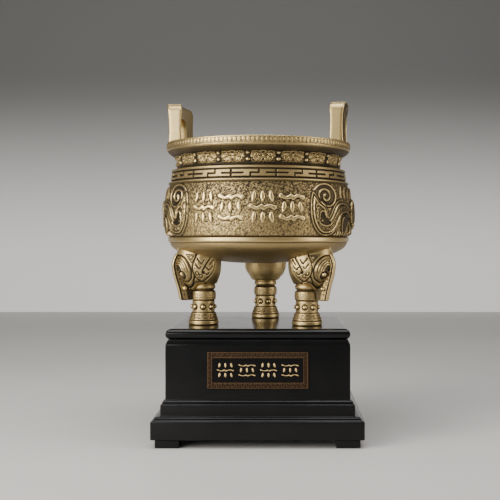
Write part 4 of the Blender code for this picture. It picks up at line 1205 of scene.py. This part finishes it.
def build_leg(name, degrees, material):
    """One leg of shaft, head, crest and two balls at the jaw's corners, turned about the vessel's axis."""
    parts = [leg_shaft(), leg_head(), leg_crest()]
    parts += [ball(np.array([19.6, side * 3.6, 33.8]), 2.1) for side in (-1, 1)]
    leg = joined(parts)
    leg.points = turned_about(leg.points + (LEG_CIRCLE, 0.0, 0.0), math.radians(degrees))
    brass_piece(name, leg, material, sharp=70.0)


# Plinth

def rounded_rectangle(width, depth, corner, segments=6):
    """Points of a rectangle with quarter circles at its corners, counter-clockwise from the front right."""
    points = []
    for sx, sy, start in ((1, -1, -90), (1, 1, 0), (-1, 1, 90), (-1, -1, 180)):
        turn = np.radians(start + 90.0 * np.arange(segments + 1) / segments)
        middle = (sx * (width / 2 - corner), sy * (depth / 2 - corner))
        points.append(middle + corner * np.column_stack([np.cos(turn), np.sin(turn)]))
    return np.vstack(points)


def rounded_profile(points, radius, steps=4):
    """(inset, height) points with each inner corner replaced by a short arc, a quadratic between its sides."""
    points = np.asarray(points, float)
    t = np.linspace(0, 1, steps + 1)[:, None]
    out = [points[:1]]
    for before, here, after in zip(points[:-2], points[1:-1], points[2:]):
        sides = (before - here, after - here)
        first, last = (here + side * min(radius / np.hypot(*side), 0.45) for side in sides)
        out.append(first * (1 - t) ** 2 + here * 2 * t * (1 - t) + last * t**2)
    return np.vstack(out + [points[-1:]])


def lacquered_block(name, node, profile, corner, material):
    """A block on its node's place, a rounded rectangle at each height, inset as the profile says."""
    low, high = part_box(node)
    width, depth = (high.x - low.x) / MM, (high.y - low.y) / MM
    centre = ((high.x + low.x) / 2 / MM, (high.y + low.y) / 2 / MM)
    rings = []
    for inset, height in profile:
        ring = rounded_rectangle(width - 2 * inset, depth - 2 * inset, corner)
        rings.append(np.column_stack([ring + centre, np.full(len(ring), height)]))
    points = np.array(rings)
    shell = grid_shell(points, low_pole=points[0].mean(0), high_pole=points[-1].mean(0))
    make_piece(name, shell, material, node, 40.0)


def build_plinth(edge, material):
    """Slab, step and body with moulded lips, a shadow groove and a half-round top board."""
    bottom, top = (corner.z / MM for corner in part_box("plinth"))
    slab_top = bottom + SLAB_HEIGHT
    step_bottom = slab_top + STEP_LIFT
    step_top, body_bottom = step_bottom + STEP_HEIGHT, step_bottom + BODY_LIFT
    body_top = body_bottom + BODY_HEIGHT
    board_bottom = body_top + 1.0
    profile = rounded_profile([
        (3.0, bottom), (0.0, bottom), (0.0, slab_top), (1.6, slab_top + 0.1), (2.7, slab_top + 1.6),
        (3.1, slab_top + 2.7), (4.3, step_bottom), (STEP_INSET, step_bottom), (STEP_INSET, step_top),
        (8.7, step_top + 0.2), (9.2, step_top + 1.6), (9.6, step_top + 2.8), (10.6, body_bottom),
        (BODY_INSET, body_bottom), (BODY_INSET, body_top - 3.4), (13.5, body_top), (GROOVE_INSET, body_top),
        (GROOVE_INSET, board_bottom),
    ], edge)
    radius = (top - board_bottom) / 2
    turn = np.radians(np.linspace(-80, 90, 20))
    inset, height = BODY_INSET + radius * (1 - np.cos(turn)), board_bottom + radius * (1 + np.sin(turn))
    profile = np.vstack([profile, np.column_stack([inset, height]), [(BODY_INSET + radius + 6.0, top)]])
    lacquered_block("lacquered_plinth", "plinth", profile, PLINTH_CORNER, material)


def build_foot_block(node, material):
    """One square foot block with rounded edges."""
    bottom, top = (corner.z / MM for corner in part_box(node))
    profile = rounded_profile([(2.0, bottom), (0.0, bottom), (0.0, top), (2.0, top)], FOOT_EDGE)
    lacquered_block("lacquered_" + node.removeprefix("plinth_"), node, profile, FOOT_CORNER, material)


def build_plaque(material):
    """A thin plate as a height over its face: a border with a fine wave, a sunk field and raised strokes."""
    low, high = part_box("name_plaque")
    width, height, thickness = ((high[k] - low[k]) / MM for k in (0, 2, 1))
    across, up = (np.linspace(-0.5, 0.5, count) for count in (PLAQUE_COLUMNS, PLAQUE_ROWS))
    x, z = np.meshgrid(across * width, up * height)
    from_side, from_end = width / 2 - np.abs(x), height / 2 - np.abs(z)
    field = np.minimum(from_side - 4.6, from_end - 5.6)
    edge = np.minimum(from_side, from_end)
    sunk = rises(field, -0.15, 0.15)
    rail = (bell(field + 0.55, 0.28) + bell(edge - 0.7, 0.30)) * (1 - sunk)
    beside = from_side < from_end
    u = in_cell(np.where(beside, z, x), PLAQUE_WAVE_PITCH)
    v = np.where(beside, from_side - 2.5, from_end - 2.9)
    wave = distance_to(u, v, [(-2.2, -1.1), (-1.1, -1.1), (-1.1, 1.1), (1.1, 1.1), (1.1, -1.1), (2.2, -1.1)])
    fret = bell(wave, 0.50) * (1 - sunk) * rises(edge, 1.0, 1.3) * falls(field, -1.2, -0.9)
    gold = np.zeros(x.shape)
    for block in range(PLAQUE_BLOCKS):
        across = x - (block - (PLAQUE_BLOCKS - 1) / 2) * PLAQUE_BLOCK_PITCH
        near = np.abs(across[0]) < 9.4
        place = (across[:, near], z[:, near])
        inside = brush_strokes(*place, block, PLAQUE_BLOCK_WIDTH, PLAQUE_BLOCK_HEIGHT, PLAQUE_BOLDNESS)
        gold[:, near] = np.maximum(gold[:, near], rises(inside, -0.12, 0.12))
    gold *= sunk
    out = np.minimum(thickness - 0.25 - 0.35 * sunk + 0.12 * fret + 0.2 * rail + 0.38 * gold, thickness)
    up = z + (low.z + high.z) / 2 / MM
    front = np.stack([x, low.y / MM + thickness - out, up], -1).reshape(-1, 3)
    back = np.stack([x, np.full(x.shape, high.y / MM), up], -1).reshape(-1, 3)
    index = np.arange(x.size).reshape(x.shape)
    loop = np.concatenate([index[0], index[1:, -1], index[-1, -2::-1], index[-2:0:-1, 0]])
    behind = x.size + np.arange(len(loop))
    sides = np.stack([loop, behind, np.roll(behind, -1), np.roll(loop, -1)], -1)
    faces = quads_over(index) + sides.tolist() + [behind[::-1].tolist()]
    relief = np.append(1 - sunk, np.ones(len(loop)))
    shine = np.append(np.maximum(gold, 0.60 * rail + 0.50 * fret), np.zeros(len(loop)))
    shell = Shell(np.vstack([front, back[loop]]), faces, relief, shine)
    make_piece("plaque_plate", shell, material, "name_plaque", 50.0)


# Stage

def floor_material(look):
    """A pale matt floor with slow changes of tone."""
    material, shader, place = new_material("pale_floor")
    tone = place.noise(scale=3.0).ramp(0.3, 0.7) * 0.3
    colour = tone.mix(rgba(look.floor), (0.60, 0.59, 0.58, 1.0))
    feed(place.tree, shader, {"Base Color": colour, "Roughness": 0.55})
    return material


def wall_material(look):
    """A pale wall that glows a little, more towards the floor, as painted light, with its colour painted darker
    towards the top as painted shade.
    """
    material, shader, place = new_material("pale_wall")
    height = place.node("ShaderNodeSeparateXYZ", None, {0: place}, output=2)
    # Painted shade: dark grey at the top of the wall, pale near the floor
    painted_wall_falloff = (height + place.noise(scale=2.0) * 0.04).ramp(0.65, 0.08)
    feed(place.tree, shader, {
        "Base Color": painted_wall_falloff.mix(grey(0.13), (0.44, 0.435, 0.43, 1.0)),
        "Roughness": 0.9,
        # Painted light: the wall glows, more near the floor
        "Emission Color": height.ramp(0.60, 0.10).mix(grey(0.01), rgba(look.wall)),
        "Emission Strength": 1.0,
    })
    return material


def add_light(name, place, size, power, colour):
    """A soft box, turned to shine on the object."""
    light = bpy.data.lights.new(name, "AREA")
    light.shape = "RECTANGLE"
    light.size, light.size_y = size
    light.energy = power
    light.color = colour
    lamp = bpy.data.objects.new(name, light)
    bpy.context.scene.collection.objects.link(lamp)
    x, y, z = np.subtract(AIM, place)
    lamp.location = place
    lamp.rotation_euler = (math.atan2(math.hypot(x, y), -z), 0.0, math.atan2(-x, y))


def build_stage(look):
    """A pale floor and wall, soft boxes left, right, above and in front, a pale world and the camera."""
    span, wall = look.reach, WALL_PLACE
    floor = [(-span, -span, 0), (span, -span, 0), (span, span, 0), (-span, span, 0)]
    upright = [(-span, wall, -0.1), (span, wall, -0.1), (span, wall, WALL_TOP), (-span, wall, WALL_TOP)]
    new_object("pale_floor", floor, [(0, 1, 2, 3)], floor_material(look))
    new_object("pale_wall", upright, [(0, 1, 2, 3)], wall_material(look))
    world = bpy.data.worlds.new("studio")
    world.use_nodes = True
    background = world.node_tree.nodes["Background"]
    feed(world.node_tree, background, {"Color": (0.62, 0.61, 0.60, 1.0), "Strength": 0.30})
    bpy.context.scene.world = world
    for name, place, size, power, colour in LIGHTS:
        add_light(name, place, size, power * look.light, colour)
    camera = bpy.data.cameras.new("camera")
    camera.sensor_width = SENSOR
    camera.lens = FOCAL_PIXELS / PICTURE_WIDTH * SENSOR
    camera.shift_x, camera.shift_y = SHIFT
    eye = bpy.data.objects.new("camera", camera)
    bpy.context.scene.collection.objects.link(eye)
    eye.location = EYE
    eye.rotation_euler = (math.pi / 2, 0.0, 0.0)
    bpy.context.scene.camera = eye


# Sizes, colours, operators and panel

def colour_property(name, description, default):
    settings = {"subtype": "COLOR", "size": 3, "min": 0.0, "max": 1.0}
    return FloatVectorProperty(name=name, description=description, default=default, **settings)


def length_property(name, description, default, most):
    settings = {"unit": "LENGTH", "precision": 5, "min": 0.0, "soft_max": most}
    return FloatProperty(name=name, description=description, default=default, **settings)


class DingSizes(bpy.types.PropertyGroup):
    """Sizes of the cast vessel."""
    wall: length_property("Wall", "Thickness of the cast wall", 0.003, 0.006)
    strokes: length_property("Strokes", "Height of the raised strokes on the belly", 0.00095, 0.002)
    stipple: length_property("Stipple", "Depth of the stipple on the belly's ground", 0.00016, 0.0005)
    bosses: length_property("Bosses", "Height of the round bosses on the neck", 0.0019, 0.003)
    leaves: length_property("Leaves", "Height of the leaves on the rim's face", 0.0006, 0.0012)


class DingFinish(bpy.types.PropertyGroup):
    """Colours and grain of the antique brass."""
    recess: colour_property("Recess", "Dark patina in the recesses", (0.022, 0.016, 0.009))
    brass: colour_property("Brass", "Antique brass of the ground", (0.315, 0.230, 0.104))
    polished: colour_property("Polished", "Brass rubbed bright on what stands out", (0.72, 0.545, 0.250))
    tint: colour_property("Tint", "Slow stain in the patina", (0.21, 0.155, 0.075))
    grain: length_property("Casting grain", "Depth of the casting's fine grain", 0.0003, 0.001)


class PlinthFinish(bpy.types.PropertyGroup):
    """Colours and edges of the plinth and its plaque."""
    lacquer: colour_property("Lacquer", "Black lacquer", (0.0032, 0.0032, 0.0034))
    rubbed: colour_property("Rubbed lacquer", "Dust and rubbed places on the lacquer", (0.008, 0.0078, 0.008))
    enamel: colour_property("Enamel", "Field of the plaque", (0.0035, 0.0030, 0.0030))
    gold: colour_property("Gold", "Strokes and line of the plaque", (0.62, 0.44, 0.20))
    edge: length_property("Edge radius", "Rounding of the plinth's edges", 0.0007, 0.002)


class StageLook(bpy.types.PropertyGroup):
    """Floor, wall and strength of the light."""
    floor: colour_property("Floor", "Pale floor", (0.52, 0.51, 0.50))
    wall: colour_property("Wall glow", "Light that the wall gives off near the floor", (0.42, 0.41, 0.40))
    reach: length_property("Reach", "Half the floor's width", 3.0, 10.0)
    light: FloatProperty(
        name="Light", description="Strength of the soft boxes", default=1.0, min=0.0, soft_max=4.0,
    )


GROUPS = {
    "ding_sizes": DingSizes, "ding_finish": DingFinish, "plinth_finish": PlinthFinish, "stage_look": StageLook,
}


def brass_of(scene):
    """The vessel's one material, made when it is first asked for."""
    name = "antique_brass_look"
    return bpy.data.materials.get(name) or antique_brass(name, scene.ding_finish)


class DING_OT_bowl(bpy.types.Operator):
    """Adds the bowl: underside, belly with dragons and strokes, meander band, neck and rim."""
    bl_idname = "ding.bowl"
    bl_label = "Bowl"

    def execute(self, context):
        sizes, brass = context.scene.ding_sizes, brass_of(context.scene)
        build_underside(sizes, brass)
        build_belly_half("ding_belly_front", -90.0, BELLY_FRONT_COLUMNS, sizes, brass)
        build_belly_half("ding_belly_back", 90.0, BELLY_BACK_COLUMNS, sizes, brass)
        build_fret_band(sizes, brass)
        build_neck(sizes, brass)
        build_rim(sizes, brass)
        return {"FINISHED"}


class DING_OT_ears(bpy.types.Operator):
    """Adds the two loop ears on the rim."""
    bl_idname = "ding.ears"
    bl_label = "Ears"

    def execute(self, context):
        build_ear("ding_ear_right", 0.0, brass_of(context.scene))
        build_ear("ding_ear_left", math.pi, brass_of(context.scene))
        return {"FINISHED"}


class DING_OT_legs(bpy.types.Operator):
    """Adds the three beast-head legs."""
    bl_idname = "ding.legs"
    bl_label = "Legs"

    def execute(self, context):
        for word, degrees in LEG_ANGLES.items():
            build_leg("ding_leg_" + word, degrees, brass_of(context.scene))
        return {"FINISHED"}


class DING_OT_plinth(bpy.types.Operator):
    """Adds the lacquered plinth and its four foot blocks."""
    bl_idname = "ding.plinth"
    bl_label = "Plinth"

    def execute(self, context):
        finish = context.scene.plinth_finish
        lacquer = black_lacquer("black_lacquer_look", finish)
        build_plinth(finish.edge / MM, lacquer)
        for node in sorted(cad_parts):
            if node.startswith("plinth_foot"):
                build_foot_block(node, lacquer)
        return {"FINISHED"}


class DING_OT_plaque(bpy.types.Operator):
    """Adds the plaque on the plinth's front."""
    bl_idname = "ding.plaque"
    bl_label = "Plaque"

    def execute(self, context):
        build_plaque(plaque_finish("plaque_look", context.scene.plinth_finish))
        return {"FINISHED"}


class DING_OT_stage(bpy.types.Operator):
    """Adds the floor, the wall, the lights and the camera."""
    bl_idname = "ding.stage"
    bl_label = "Stage"

    def execute(self, context):
        build_stage(context.scene.stage_look)
        return {"FINISHED"}


OPERATORS = (DING_OT_bowl, DING_OT_ears, DING_OT_legs, DING_OT_plinth, DING_OT_plaque, DING_OT_stage)


class DING_PT_panel(bpy.types.Panel):
    """Lists the sizes, the colours and the operators."""
    bl_idname = "DING_PT_panel"
    bl_label = "Ding ornament"
    bl_space_type = "VIEW_3D"
    bl_region_type = "UI"
    bl_category = "Ding"

    def draw(self, context):
        for name, group in GROUPS.items():
            for key in group.__annotations__:
                self.layout.prop(getattr(context.scene, name), key)
        for operator in OPERATORS:
            self.layout.operator(operator.bl_idname)


CLASSES = (*GROUPS.values(), *OPERATORS, DING_PT_panel)


def register():
    for item in CLASSES:
        bpy.utils.register_class(item)
    for name, group in GROUPS.items():
        setattr(bpy.types.Scene, name, PointerProperty(type=group))


def unregister():
    for name in GROUPS:
        delattr(bpy.types.Scene, name)
    for item in reversed(CLASSES):
        bpy.utils.unregister_class(item)


def main():
    register()
    bpy.ops.ding.bowl()
    bpy.ops.ding.ears()
    bpy.ops.ding.legs()
    bpy.ops.ding.plinth()
    bpy.ops.ding.plaque()
    bpy.ops.ding.stage()


if __name__ == "__main__":
    main()
